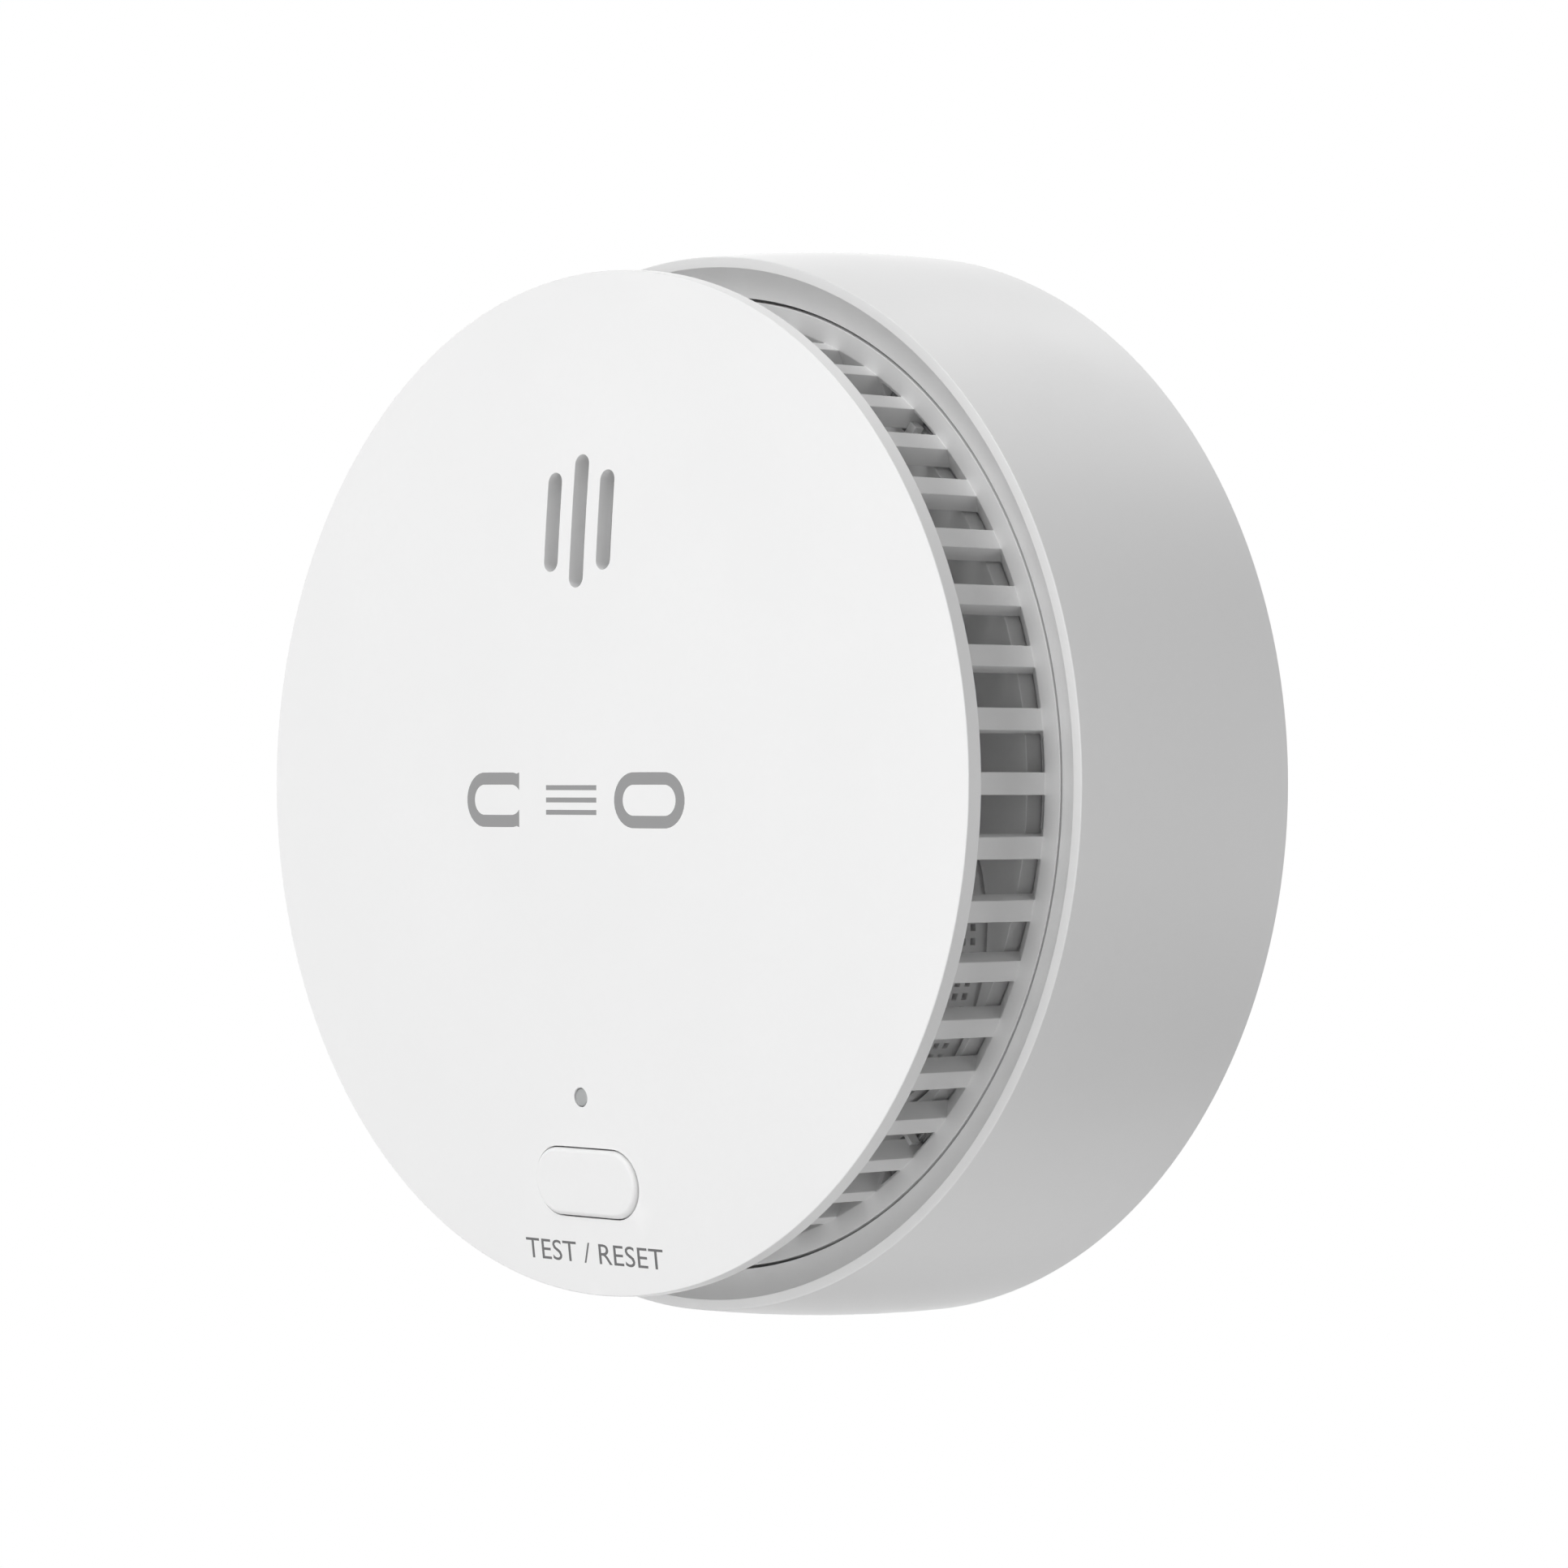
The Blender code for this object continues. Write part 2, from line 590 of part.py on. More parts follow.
def make_cage(parent):
    inner = CAGE_RADIUS - CAGE_WALL
    foot_top = LEDGE_TOP + 2 * GAP
    cage = turned("sensor_cage", [
        (CAGE_RADIUS, CAGE_TOP), (CAGE_RADIUS, foot_top), (inner, foot_top), (inner, CAGE_TOP)],
        parent, GRILLE_ABS, SENSOR_CENTRE, steps=48, ring=True)
    for number, angle in enumerate((23, 143, 263)):
        leg = sector(inner + 0.0001, CAGE_RADIUS - 0.0001, angle, 20)
        weld(cage, prism(f"add_cage_leg_{number}", leg, BOARD_PARTS, foot_top + OVERLAP,
                         SENSOR_CENTRE, parent))
    low = CAGE_TOP + GAP
    turned("sensor_cage_lid", [
        (0, low + 0.0012), (CAGE_RADIUS - 0.0004, low + 0.0012), (CAGE_RADIUS, low + 0.0008),
        (CAGE_RADIUS, low), (inner - GAP, low), (inner - GAP, low - 0.0012),
        (inner - 0.0012, low - 0.0012), (inner - 0.0012, low), (0, low)],
        parent, GRILLE_ABS, SENSOR_CENTRE, steps=32)


# ---------------------------------------------------------------- sounder

def sounder_contacts():
    x, y = SOUNDER_CENTRE
    return [(x - 0.0030, y), (x + 0.0104, y)]


def make_sounder(parent):
    foot = DECK_TOP + GAP
    seat = 0.0346                 # underside of the shoulder that the brass disc rests against
    roof = 0.0401
    wall = 0.0013
    sound_hole = 0.0040
    outer = SOUNDER_RADIUS
    bore = outer - wall
    turned("sounder_housing", [
        (sound_hole, roof + wall), (outer - 0.0008, roof + wall), (outer, roof + 0.0005),
        (outer, foot), (bore, foot), (bore, seat), (bore - 0.0014, seat), (bore - 0.0014, roof),
        (sound_hole, roof)], parent, GRILLE_ABS, SOUNDER_CENTRE, steps=32, ring=True)
    brass_low = seat - GAP - 0.0003
    cylinder("piezo_brass_disc", bore - 0.0004, brass_low, seat - GAP, SOUNDER_CENTRE, parent,
             BRASS, segments=24)
    ceramic_top = brass_low - GAP
    cylinder("piezo_ceramic", 0.0090, ceramic_top - 0.0003, ceramic_top, SOUNDER_CENTRE, parent,
             CERAMIC, segments=24)
    turned("sounder_retainer", [
        (bore - GAP, ceramic_top), (bore - GAP, foot), (bore - 0.0020, foot),
        (bore - 0.0020, ceramic_top)], parent, BLACK_PLASTIC, SOUNDER_CENTRE, steps=24, ring=True)
    tops = (ceramic_top - 0.0006, brass_low - GAP)
    for number, (centre, top) in enumerate(zip(sounder_contacts(), tops), start=1):
        cylinder(f"sounder_contact_{number}", CONTACT_RADIUS, BOARD_PARTS, top, centre, parent,
                 BRASS, segments=10)


# ---------------------------------------------------------------- battery

def make_battery(parent):
    """The cell lies up the wall, so its profile is turned about an axis along the wall's y."""
    half = BATTERY_LENGTH / 2
    nub = 0.0008
    stand = new_empty("battery_axis", parent, (BATTERY_X, 0, BATTERY_HEIGHT),
                      (-math.pi / 2, 0, 0))
    turned("battery_cell", [
        (0, half), (0.0030, half), (0.0030, half - nub), (BATTERY_RADIUS - 0.0006, half - nub),
        (BATTERY_RADIUS, half - nub - 0.0006), (BATTERY_RADIUS, -half + 0.0006),
        (BATTERY_RADIUS - 0.0006, -half), (0, -half)], stand, CELL_WRAP, steps=24)
    wall_start = half + 0.0011
    wall_end = wall_start + 0.0016
    low = BASE_PLATE[1] + GAP
    holder = block("battery_holder", (0.0190, 2 * wall_end), low, 0.0130, (BATTERY_X, 0),
                   parent, BLACK_PLASTIC)
    bed = cylinder("cut_battery_bed", BATTERY_RADIUS + GAP, -wall_start, wall_start, (0, 0),
                   stand, segments=32)
    cut(holder, bed)
    for sign, label in ((1, "pos"), (-1, "neg")):
        wall = sign * (wall_start + wall_end) / 2
        weld(holder, block(f"add_holder_wall_{label}", (0.0160, wall_end - wall_start - 0.0001),
                           0.0120, 0.0220, (BATTERY_X, wall), parent))
        plate = sign * (half + GAP + 0.00025)
        block(f"battery_contact_{label}", (0.0060, 0.0005), 0.0105, 0.0223, (BATTERY_X, plate),
              parent, STEEL)
        finish = RED_SLEEVE if sign > 0 else BLACK_SLEEVE
        wire(f"battery_lead_{label}", [
            (BATTERY_X, plate, 0.0226), (BATTERY_X + 0.0022, sign * 0.0184, 0.0240),
            (BATTERY_X + 0.0090, sign * 0.0186, 0.0238), (-0.0176, sign * 0.0178, 0.0222),
            (-0.0170, sign * 0.0174, BOARD_PARTS)], 0.0005, parent, finish)


# ---------------------------------------------------------------- the whole object

clear_scene()
PARTS = new_collection(MODEL_NAME)
CUTTERS = new_collection("cutters")

WHITE_ABS = plastic("white_abs", (0.86, 0.86, 0.85), 0.42)
GRILLE_ABS = plastic("grille_abs", (0.80, 0.80, 0.79), 0.48)
BLACK_PLASTIC = plastic("black_plastic", (0.03, 0.03, 0.03), 0.5)
CLEAR_ACRYLIC = plastic("clear_acrylic", (0.72, 0.72, 0.72), 0.15)
LED_RESIN = plastic("led_resin", (0.75, 0.80, 0.74), 0.2)
BOARD_GREEN = plastic("board_green", (0.04, 0.22, 0.09), 0.4)
STEEL = plastic("plated_steel", (0.62, 0.62, 0.60), 0.3, 1.0)
ALUMINIUM = plastic("aluminium", (0.75, 0.75, 0.76), 0.3, 1.0)
BRASS = plastic("brass", (0.80, 0.62, 0.25), 0.3, 1.0)
FERRITE = plastic("ferrite", (0.08, 0.08, 0.09), 0.6)
CERAMIC = plastic("ceramic", (0.85, 0.84, 0.80), 0.5)
CELL_WRAP = plastic("cell_wrap", (0.10, 0.16, 0.30), 0.35)
LABEL_FILM = plastic("label_film", (0.90, 0.90, 0.90), 0.35)
RED_SLEEVE = plastic("red_sleeve", (0.60, 0.04, 0.03), 0.45)
BLACK_SLEEVE = plastic("black_sleeve", (0.02, 0.02, 0.02), 0.45)

wall_frame = new_empty("wall_frame", rotation=(math.pi / 2, 0, 0))
twist_axis = new_empty("twist_axis", wall_frame)
button_axis = new_empty("button_axis", twist_axis, (*BUTTON_CENTRE, 0))
plunger_axis = new_empty("plunger_axis", twist_axis, (*BUTTON_CENTRE, 0))

make_bracket(wall_frame)
make_base(twist_axis)
make_base_screws(twist_axis)
make_label(twist_axis)
make_shell(twist_axis)
make_vent_frame(twist_axis)
make_deck(twist_axis)
make_cover(twist_axis)
make_button(button_axis)
make_switch(twist_axis, plunger_axis)
make_lamp(twist_axis)
make_board(twist_axis)
make_board_screws(twist_axis)
make_board_parts(twist_axis)
make_sensor(twist_axis)
make_cage(twist_axis)
make_sounder(twist_axis)
make_battery(twist_axis)
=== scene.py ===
"""Looks of a round wall-mounted carbon monoxide detector.

Pieces are drawn in millimetres in the frame of the wall: x to the right, y up the wall and h out
of the wall. to_frame turns them upright, so the wall is the plane y = 0 and the face looks at -Y.
"""
import math

import bmesh
import bpy
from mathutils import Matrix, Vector
from mathutils.geometry import delaunay_2d_cdt


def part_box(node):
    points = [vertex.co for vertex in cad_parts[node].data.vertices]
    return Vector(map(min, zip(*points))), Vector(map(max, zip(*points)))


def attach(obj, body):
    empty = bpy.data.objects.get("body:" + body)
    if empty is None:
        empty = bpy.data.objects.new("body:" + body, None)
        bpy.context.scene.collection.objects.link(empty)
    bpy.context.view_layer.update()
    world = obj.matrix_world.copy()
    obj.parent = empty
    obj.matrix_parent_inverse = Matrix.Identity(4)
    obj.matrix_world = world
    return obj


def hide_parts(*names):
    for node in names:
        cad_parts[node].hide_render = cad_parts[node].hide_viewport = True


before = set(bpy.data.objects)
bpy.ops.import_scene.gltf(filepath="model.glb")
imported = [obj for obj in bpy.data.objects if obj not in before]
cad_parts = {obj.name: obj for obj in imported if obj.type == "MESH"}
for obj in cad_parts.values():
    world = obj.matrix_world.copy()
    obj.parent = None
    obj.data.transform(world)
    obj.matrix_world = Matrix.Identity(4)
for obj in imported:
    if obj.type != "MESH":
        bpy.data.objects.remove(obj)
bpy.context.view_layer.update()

MM = 0.001
TURN = math.tau


def extent(node):
    """Lowest and highest (x, y, h) of a CAD node, in millimetres."""
    low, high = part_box(node)
    return (low[0] / MM, low[2] / MM, -high[1] / MM), (high[0] / MM, high[2] / MM, -low[1] / MM)


def middle_of(node):
    low, high = extent(node)
    return ((low[0] + high[0]) / 2, (low[1] + high[1]) / 2)


def reach_of(node):
    """Radius of a round CAD node."""
    low, high = extent(node)
    return (high[0] - low[0]) / 2


LOOP = 0.04                   # how far a supporting loop stands from a rounded edge

# Cover
CROWN = 3.7                   # rise of the domed face above its rim
BAND_R = reach_of("front_cover")
BAND_LOW = extent("front_cover")[0][2]
BAND_DRAFT = 0.1              # the disc's edge is drafted outwards by this
DISC_R = BAND_R - BAND_DRAFT
RIM_H = extent("front_cover")[1][2] - CROWN
SKIM = 0.02                   # the drawn face lies this far under the CAD's
SKIN = 1.9
HOLLOW_R = 44.9
EDGE_ROUND = 0.11
OPENING_ROUND = 0.06          # width of the rounding round each opening of the face
SLOT_DROP = 0.07              # depth of that rounding at the sound slots
LAMP_DROP = 0.04
BUTTON_DROP = 0.05
SLOT_R = 1.04
SOUND_SLOTS = ((0.0, 19.8, 33.3), (-3.93, 21.5, 31.6), (3.93, 21.5, 31.6))
LAMP = middle_of("light_pipe")
LAMP_HOLE_R = 0.99
LAMP_TIP_R = 0.90
BUTTON = middle_of("test_button")
BUTTON_SIZE = (15.1, 6.9)
BUTTON_PROUD = 0.43
BUTTON_GAP = 0.14
BUTTON_ROUND = 0.50

# Vents
RIB_COUNT = 48
RIB_WIDTH = 2.2
RIB_R = 47.8
RIB_INNER_R = 45.45
FLANGE_R = reach_of("vent_frame") - 0.08
FLANGE_H = 27.58
FLANGE_LOW = extent("vent_frame")[0][2]
SILL_H = 27.47
SILL_FALL = 2.15
RING_H = (39.08, extent("vent_frame")[1][2])
SLOT_RADII = (45.9, 47.4)
SLOT_CENTRES = (0.0, 52.5, 127.5, 180.0, 232.5, 307.5)
SLOT_HALF = 5.5               # degrees
STOPS = (2.0, 3.75, 5.5)      # where a window is divided, in degrees after its rib

# Shell
SHELL_BACK = (reach_of("housing_shell"), extent("housing_shell")[0][2])
SHELL_LIP = (54.3, extent("housing_shell")[1][2])
SHELL_WALL = 2.0
LIP_INNER_R = 53.2
LIP_ROUND = 0.12
DISH = (50.24, 27.6)
DISH_BEND = (1.3, 2.8)        # powers that curve the dished ring, across and up
DISH_ROUND = 0.06             # where the dished ring meets the lip
BACK_ROUND = 0.3
LEDGE_R = 43.5
LEDGE_H = (22.9, 24.7)

# Sensor cage
CAGE = middle_of("sensor_cage")
CAGE_R = reach_of("sensor_cage") - 0.18
CAGE_INNER_R = 19.6
CAGE_H = (25.3, extent("sensor_cage")[1][2])
CAGE_COLUMNS = 92
CAGE_FIRST_ROW = 28.25
CAGE_ROWS = 6
CAGE_PITCH = 1.4
CAGE_HOLE = 0.72
CAGE_FOOT = extent("sensor_cage")[0][2]

# Light, in watts and in strength of the walls: to all other rays, to mirrored rays, to the camera
WALL_LIGHT = 0.15
WALL_MIRRORED = 1.6
WALL_SEEN = 1.0
BOX = dict(distance=1.0, size=0.7)
LIGHTS = {
    # azimuth from the face towards +X and elevation in degrees; distance and size in metres
    "front": dict(azimuth=0, elevation=0, power=3.8, **BOX),
    "front_right": dict(azimuth=25, elevation=0, power=1.4, **BOX),
    "front_top": dict(azimuth=0, elevation=50, power=3.8, **BOX),
    "back_top": dict(azimuth=180, elevation=55, power=2.0, **BOX),
    "back_right": dict(azimuth=130, elevation=0, power=1.6, **BOX),
    "back_below": dict(azimuth=180, elevation=-60, power=0.2, distance=0.5, size=0.35),
}


# ---------------------------------------------------------------- shapes

def to_frame(x, y, h):
    return (x * MM, -h * MM, y * MM)


def dome(x, y):
    """Height of the cover's face over a point of the wall."""
    return RIM_H + CROWN * (1 - (x * x + y * y) / DISC_R ** 2) - SKIM


def dome_normal(x, y):
    slope = 2 * CROWN / DISC_R ** 2
    return Vector(to_frame(x * slope, y * slope, 1)).normalized()


def circle(radius, count, centre=(0, 0), start=0.0):
    return [(centre[0] + radius * math.cos(start + TURN * i / count),
             centre[1] + radius * math.sin(start + TURN * i / count)) for i in range(count)]


def polar(radius, degrees):
    turn = math.radians(degrees)
    return (radius * math.cos(turn), radius * math.sin(turn))


def spread(start, end, steps):
    return [start + (end - start) * i / steps for i in range(steps + 1)]


def quarter(radius, steps):
    """(inset, drop) pairs down a rounded edge, from the flat above it to the wall under it."""
    turns = [TURN / 4 * i / steps for i in range(steps + 1)]
    return [(radius * (1 - math.sin(t)), radius * (1 - math.cos(t))) for t in turns]


class Opening:
    """A slot with round ends, or a round hole where its two ends are one point."""

    def __init__(self, first, last, radius):
        self.first, self.last, self.radius = Vector(first), Vector(last), radius

    def outline(self, grow=0.0, arc=16, step=0.9):
        """Anticlockwise points round the opening, made wider by grow."""
        along = self.last - self.first
        heading = math.atan2(along.y, along.x)
        count = int(along.length / step)
        radius = self.radius + grow
        points = []
        for end, other, facing in ((self.last, self.first, 0.0), (self.first, self.last, TURN / 2)):
            for i in range(arc):
                turn = heading + facing + TURN / 2 * ((i + 0.5) / arc - 0.5)
                points.append(end + radius * Vector((math.cos(turn), math.sin(turn))))
            side = radius * Vector((math.cos(heading + facing + TURN / 4),
                                    math.sin(heading + facing + TURN / 4)))
            points += [end.lerp(other, (i + 1) / (count + 1)) + side for i in range(count)]
        return [(p.x, p.y) for p in points]

    def clearance(self, x, y):
        """Distance from the opening's edge, below zero inside it."""
        spot = Vector((x, y))
        along = self.last - self.first
        share = 0.0
        if along.length > 0:
            share = min(1.0, max(0.0, (spot - self.first).dot(along) / along.length_squared))
        return (spot - self.first.lerp(self.last, share)).length - self.radius


class Shape:
    """The points and faces of a piece while it is being built."""

    def __init__(self):
        self.points = []
        self.faces = []
        self.inks = []
        self.normals = {}

    def point(self, x, y, h):
        self.points.append((x, y, h))
        return len(self.points) - 1

    def loop(self, outline, height):
        """A row of points over an outline, at one height or at a height for each point."""
        level = height if callable(height) else lambda x, y: height
        return [self.point(x, y, level(x, y)) for x, y in outline]

    def face(self, corners, ink=0):
        self.faces.append(tuple(corners))
        self.inks.append(ink)

    def strip(self, first, second):
        for i in range(len(first)):
            j = (i + 1) % len(first)
            self.face((first[i], first[j], second[j], second[i]))

    def lathe(self, profile, steps, centre=(0, 0)):
        """Turns a closed profile of (radius, height); a point on the axis becomes one point."""
        rows = [[self.point(*centre, h)] * steps if r == 0 else self.loop(circle(r, steps, centre), h)
                for r, h in profile]
        for low, high in zip(rows, rows[1:] + rows[:1]):
            for i in range(steps):
                j = (i + 1) % steps
                corners = dict.fromkeys((low[i], low[j], high[j], high[i]))
                if len(corners) > 2:
                    self.face(corners)


def pave(shape, rim, openings, height, grow=0.0, prints=(), spacing=2.0, dome_normals=False):
    """Fills the inside of a rim with triangles, leaving the openings out.

    Returns the rim and each opening's outline as rows of points of the shape. The triangles inside
    a print, which is (points, edges, inside test, number of its ink), take the ink's material.
    """
    spots, edges, rows = [], [], []
    for outline in [rim] + [opening.outline(grow) for opening in openings]:
        rows.append(range(len(spots), len(spots) + len(outline)))
        edges += [(rows[-1][i], rows[-1][(i + 1) % len(outline)]) for i in range(len(outline))]
        spots += outline
    for outline, segments, _, _ in prints:
        edges += [(len(spots) + a, len(spots) + b) for a, b in segments]
        spots += outline
    middle = (sum(x for x, _ in rim) / len(rim), sum(y for _, y in rim) / len(rim))
    reaches = [math.hypot(x - middle[0], y - middle[1]) for x, y in rim]
    span, surely_inside = max(reaches), 0.97 * min(reaches)
    rim_test = Polygon(rim)

    def within_rim(x, y):
        return math.hypot(x - middle[0], y - middle[1]) < surely_inside or rim_test(x, y)

    fixed = list(spots)
    for ring in range(int(span / spacing)):
        radius = span * (1 - (ring + 1) * spacing / span)
        count = max(1, round(TURN * radius / spacing))
        for x, y in circle(radius, count, middle, 0.5 * ring):
            if not within_rim(x, y):
                continue
            if any(opening.clearance(x, y) < grow + 0.3 * spacing for opening in openings):
                continue
            if any(abs(x - px) + abs(y - py) < 0.35 * spacing for px, py in fixed):
                continue
            spots.append((x, y))
    found, _, triangles, origins, _, _ = delaunay_2d_cdt(
        [Vector(spot) for spot in spots], edges, [], 0, 1e-5)
    numbers = {}
    for number, spot in enumerate(found):
        for origin in origins[number]:
            numbers[origin] = number
    placed = {}

    def place(number):
        if number not in placed:
            x, y = found[number]
            placed[number] = shape.point(x, y, height(x, y))
            if dome_normals:
                shape.normals[placed[number]] = dome_normal(x, y)
        return placed[number]

    for triangle in triangles:
        x = sum(found[i].x for i in triangle) / 3
        y = sum(found[i].y for i in triangle) / 3
        if any(opening.clearance(x, y) < grow for opening in openings):
            continue
        if not within_rim(x, y):
            continue
        ink = next((ink for _, _, inside, ink in prints if inside(x, y)), 0)
        shape.face([place(i) for i in triangle], ink)
    return [[placed[numbers[i]] for i in row] for row in rows]


class Polygon:
    """Even-odd test for a point inside closed outlines, given as points and their edges."""

    def __init__(self, points, edges=None):
        loop = [(i, (i + 1) % len(points)) for i in range(len(points))]
        self.edges = [(points[a], points[b]) for a, b in (edges or loop)]
        self.low = (min(p[0] for p in points), min(p[1] for p in points))
        self.high = (max(p[0] for p in points), max(p[1] for p in points))

    def __call__(self, x, y):
        if not (self.low[0] <= x <= self.high[0] and self.low[1] <= y <= self.high[1]):
            return False
        inside = False
        for (ax, ay), (bx, by) in self.edges:
            if (ay > y) != (by > y) and x < ax + (bx - ax) * (y - ay) / (by - ay):
                inside = not inside
        return inside


def add_piece(name, shape, finishes, body="detector", stands_for=(), bevel=0.0,
              sharp=32.0):
    """Makes the object of a shape, in metres, and ties it to the frame."""
    mesh = bpy.data.meshes.new(name)
    mesh.from_pydata([to_frame(*p) for p in shape.points], [], shape.faces)
    mesh.polygons.foreach_set("material_index", shape.inks)
    work = bmesh.new()
    work.from_mesh(mesh)
    bmesh.ops.recalc_face_normals(work, faces=work.faces)
    work.to_mesh(mesh)
    work.free()
    for finish in finishes:
        mesh.materials.append(finish)
    mesh.shade_smooth()
    mesh.set_sharp_from_angle(angle=math.radians(sharp))
    if shape.normals:
        zero = Vector((0, 0, 0))
        mesh.normals_split_custom_set_from_vertices(
            [shape.normals.get(i, zero) for i in range(len(mesh.vertices))])
    piece = bpy.data.objects.new(name, mesh)
    bpy.context.scene.collection.objects.link(piece)
    if bevel:
        round_edges(piece, bevel, 30)
    elif not shape.normals:
        flatten = piece.modifiers.new("Flat faces stay flat", "WEIGHTED_NORMAL")
        flatten.keep_sharp = True
    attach(piece, body)
    if stands_for:
        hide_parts(*stands_for)
    return piece


def round_edges(piece, width, angle):
    bevel = piece.modifiers.new("Rounded edges", "BEVEL")
    bevel.width = width * MM
    bevel.segments = 2
    bevel.limit_method = "ANGLE"
    bevel.angle_limit = math.radians(angle)
    bevel.miter_outer = "MITER_ARC"
    bevel.harden_normals = True


# ---------------------------------------------------------------- materials

def new_material(name, colour, roughness, metallic=0.0):
    finish = bpy.data.materials.new(name)
    finish.use_nodes = True
    shader = finish.node_tree.nodes["Principled BSDF"]
    shader.inputs["Base Color"].default_value = (*colour, 1)
    shader.inputs["Roughness"].default_value = roughness
    shader.inputs["Metallic"].default_value = metallic
    return finish, finish.node_tree, shader


def noise(tree, coordinates, scale, detail=3.0, stretch=None):
    """A noise of so many features a metre, along stretched axes where they are given."""
    texture = tree.nodes.new("ShaderNodeTexNoise")
    texture.inputs["Scale"].default_value = scale
    texture.inputs["Detail"].default_value = detail
    if stretch:
        mapping = tree.nodes.new("ShaderNodeMapping")
        mapping.inputs["Scale"].default_value = stretch
        tree.links.new(coordinates, mapping.inputs["Vector"])
        coordinates = mapping.outputs["Vector"]
    tree.links.new(coordinates, texture.inputs["Vector"])
    return texture.outputs["Fac"]


def remap(tree, value, low, high, start=0.3, end=0.7):
    node = tree.nodes.new("ShaderNodeMapRange")
    node.inputs["From Min"].default_value = start
    node.inputs["From Max"].default_value = end
    node.inputs["To Min"].default_value = low
    node.inputs["To Max"].default_value = high
    tree.links.new(value, node.inputs["Value"])
    return node.outputs["Result"]


def blend_colours(tree, share, first, second):
    """A colour between two, each a tuple or another node's output."""
    node = tree.nodes.new("ShaderNodeMix")
    node.data_type = "RGBA"
    tree.links.new(share, node.inputs[0])
    for socket, colour in ((node.inputs[6], first), (node.inputs[7], second)):
        if isinstance(colour, tuple):
            socket.default_value = (*colour, 1)
        else:
            tree.links.new(colour, socket)
    return node.outputs[2]


def shaded(colour, amount):
    return tuple(min(1.0, max(0.0, channel * (1 + amount))) for channel in colour)


def surface(name, colour, roughness, metallic=0.0, grain=2600, bump=0.06, mottle=0.012,
            wear=0.03, stretch=None, depth=0.02):
    """A moulded, cast or coated surface.

    A broad mottle and a fine fleck vary its colour, its roughness drifts, its grain stands up
    depth millimetres, and its outer edges are rubbed a little lighter than its inner corners.
    """
    finish, tree, shader = new_material(name, colour, roughness, metallic)
    place = tree.nodes.new("ShaderNodeTexCoord").outputs["Object"]
    broad = noise(tree, place, 45, 4)
    fleck = noise(tree, place, 0.45 * grain, 2, stretch)
    fine = noise(tree, place, grain, 3, stretch)
    base = blend_colours(tree, remap(tree, broad, 0, 1), shaded(colour, -mottle), shaded(colour, mottle))
    base = blend_colours(tree, remap(tree, fleck, 0, 0.5), base, shaded(colour, -0.6 * mottle))
    edges = tree.nodes.new("ShaderNodeNewGeometry").outputs["Pointiness"]
    base = blend_colours(tree, remap(tree, edges, 0, 1, 0.52, 0.62), base, shaded(colour, wear))
    tree.links.new(base, shader.inputs["Base Color"])
    tree.links.new(remap(tree, broad, roughness - 0.05, roughness + 0.05), shader.inputs["Roughness"])
    relief = tree.nodes.new("ShaderNodeBump")
    relief.inputs["Strength"].default_value = bump
    relief.inputs["Distance"].default_value = depth * MM
    tree.links.new(fine, relief.inputs["Height"])
    tree.links.new(relief.outputs["Normal"], shader.inputs["Normal"])
    return finish


def make_board_finish():
    """Green solder mask over copper tracks, with darker patches and a finely drifting roughness."""
    finish, tree, shader = new_material("board_mask", (0.02, 0.16, 0.06), 0.35)
    place = tree.nodes.new("ShaderNodeTexCoord").outputs["Object"]
    tracks = tree.nodes.new("ShaderNodeTexVoronoi")
    tracks.distance = "MANHATTAN"
    tracks.feature = "F1"
    tracks.inputs["Scale"].default_value = 260
    tree.links.new(place, tracks.inputs["Vector"])
    mask = blend_colours(tree, remap(tree, tracks.outputs["Distance"], 0, 1, 0.50, 0.53),
                         (0.02, 0.15, 0.055), (0.04, 0.26, 0.10))
    mask = blend_colours(tree, remap(tree, noise(tree, place, 60), 0, 0.4), mask, (0.015, 0.11, 0.04))
    tree.links.new(mask, shader.inputs["Base Color"])
    tree.links.new(remap(tree, noise(tree, place, 900), 0.28, 0.46), shader.inputs["Roughness"])
    relief = tree.nodes.new("ShaderNodeBump")
    relief.inputs["Strength"].default_value = 0.3
    relief.inputs["Distance"].default_value = 0.03 * MM
    tree.links.new(tracks.outputs["Distance"], relief.inputs["Height"])
    tree.links.new(relief.outputs["Normal"], shader.inputs["Normal"])
    return finish


def make_pipe_finish():
    """Frosted clear acrylic, as moulded light pipes are."""
    finish = surface("frosted_acrylic", (0.42, 0.43, 0.43), 0.30, grain=3000, bump=0.05)
    shader = finish.node_tree.nodes["Principled BSDF"]
    shader.inputs["Transmission Weight"].default_value = 0.15
    shader.inputs["IOR"].default_value = 1.49
    return finish


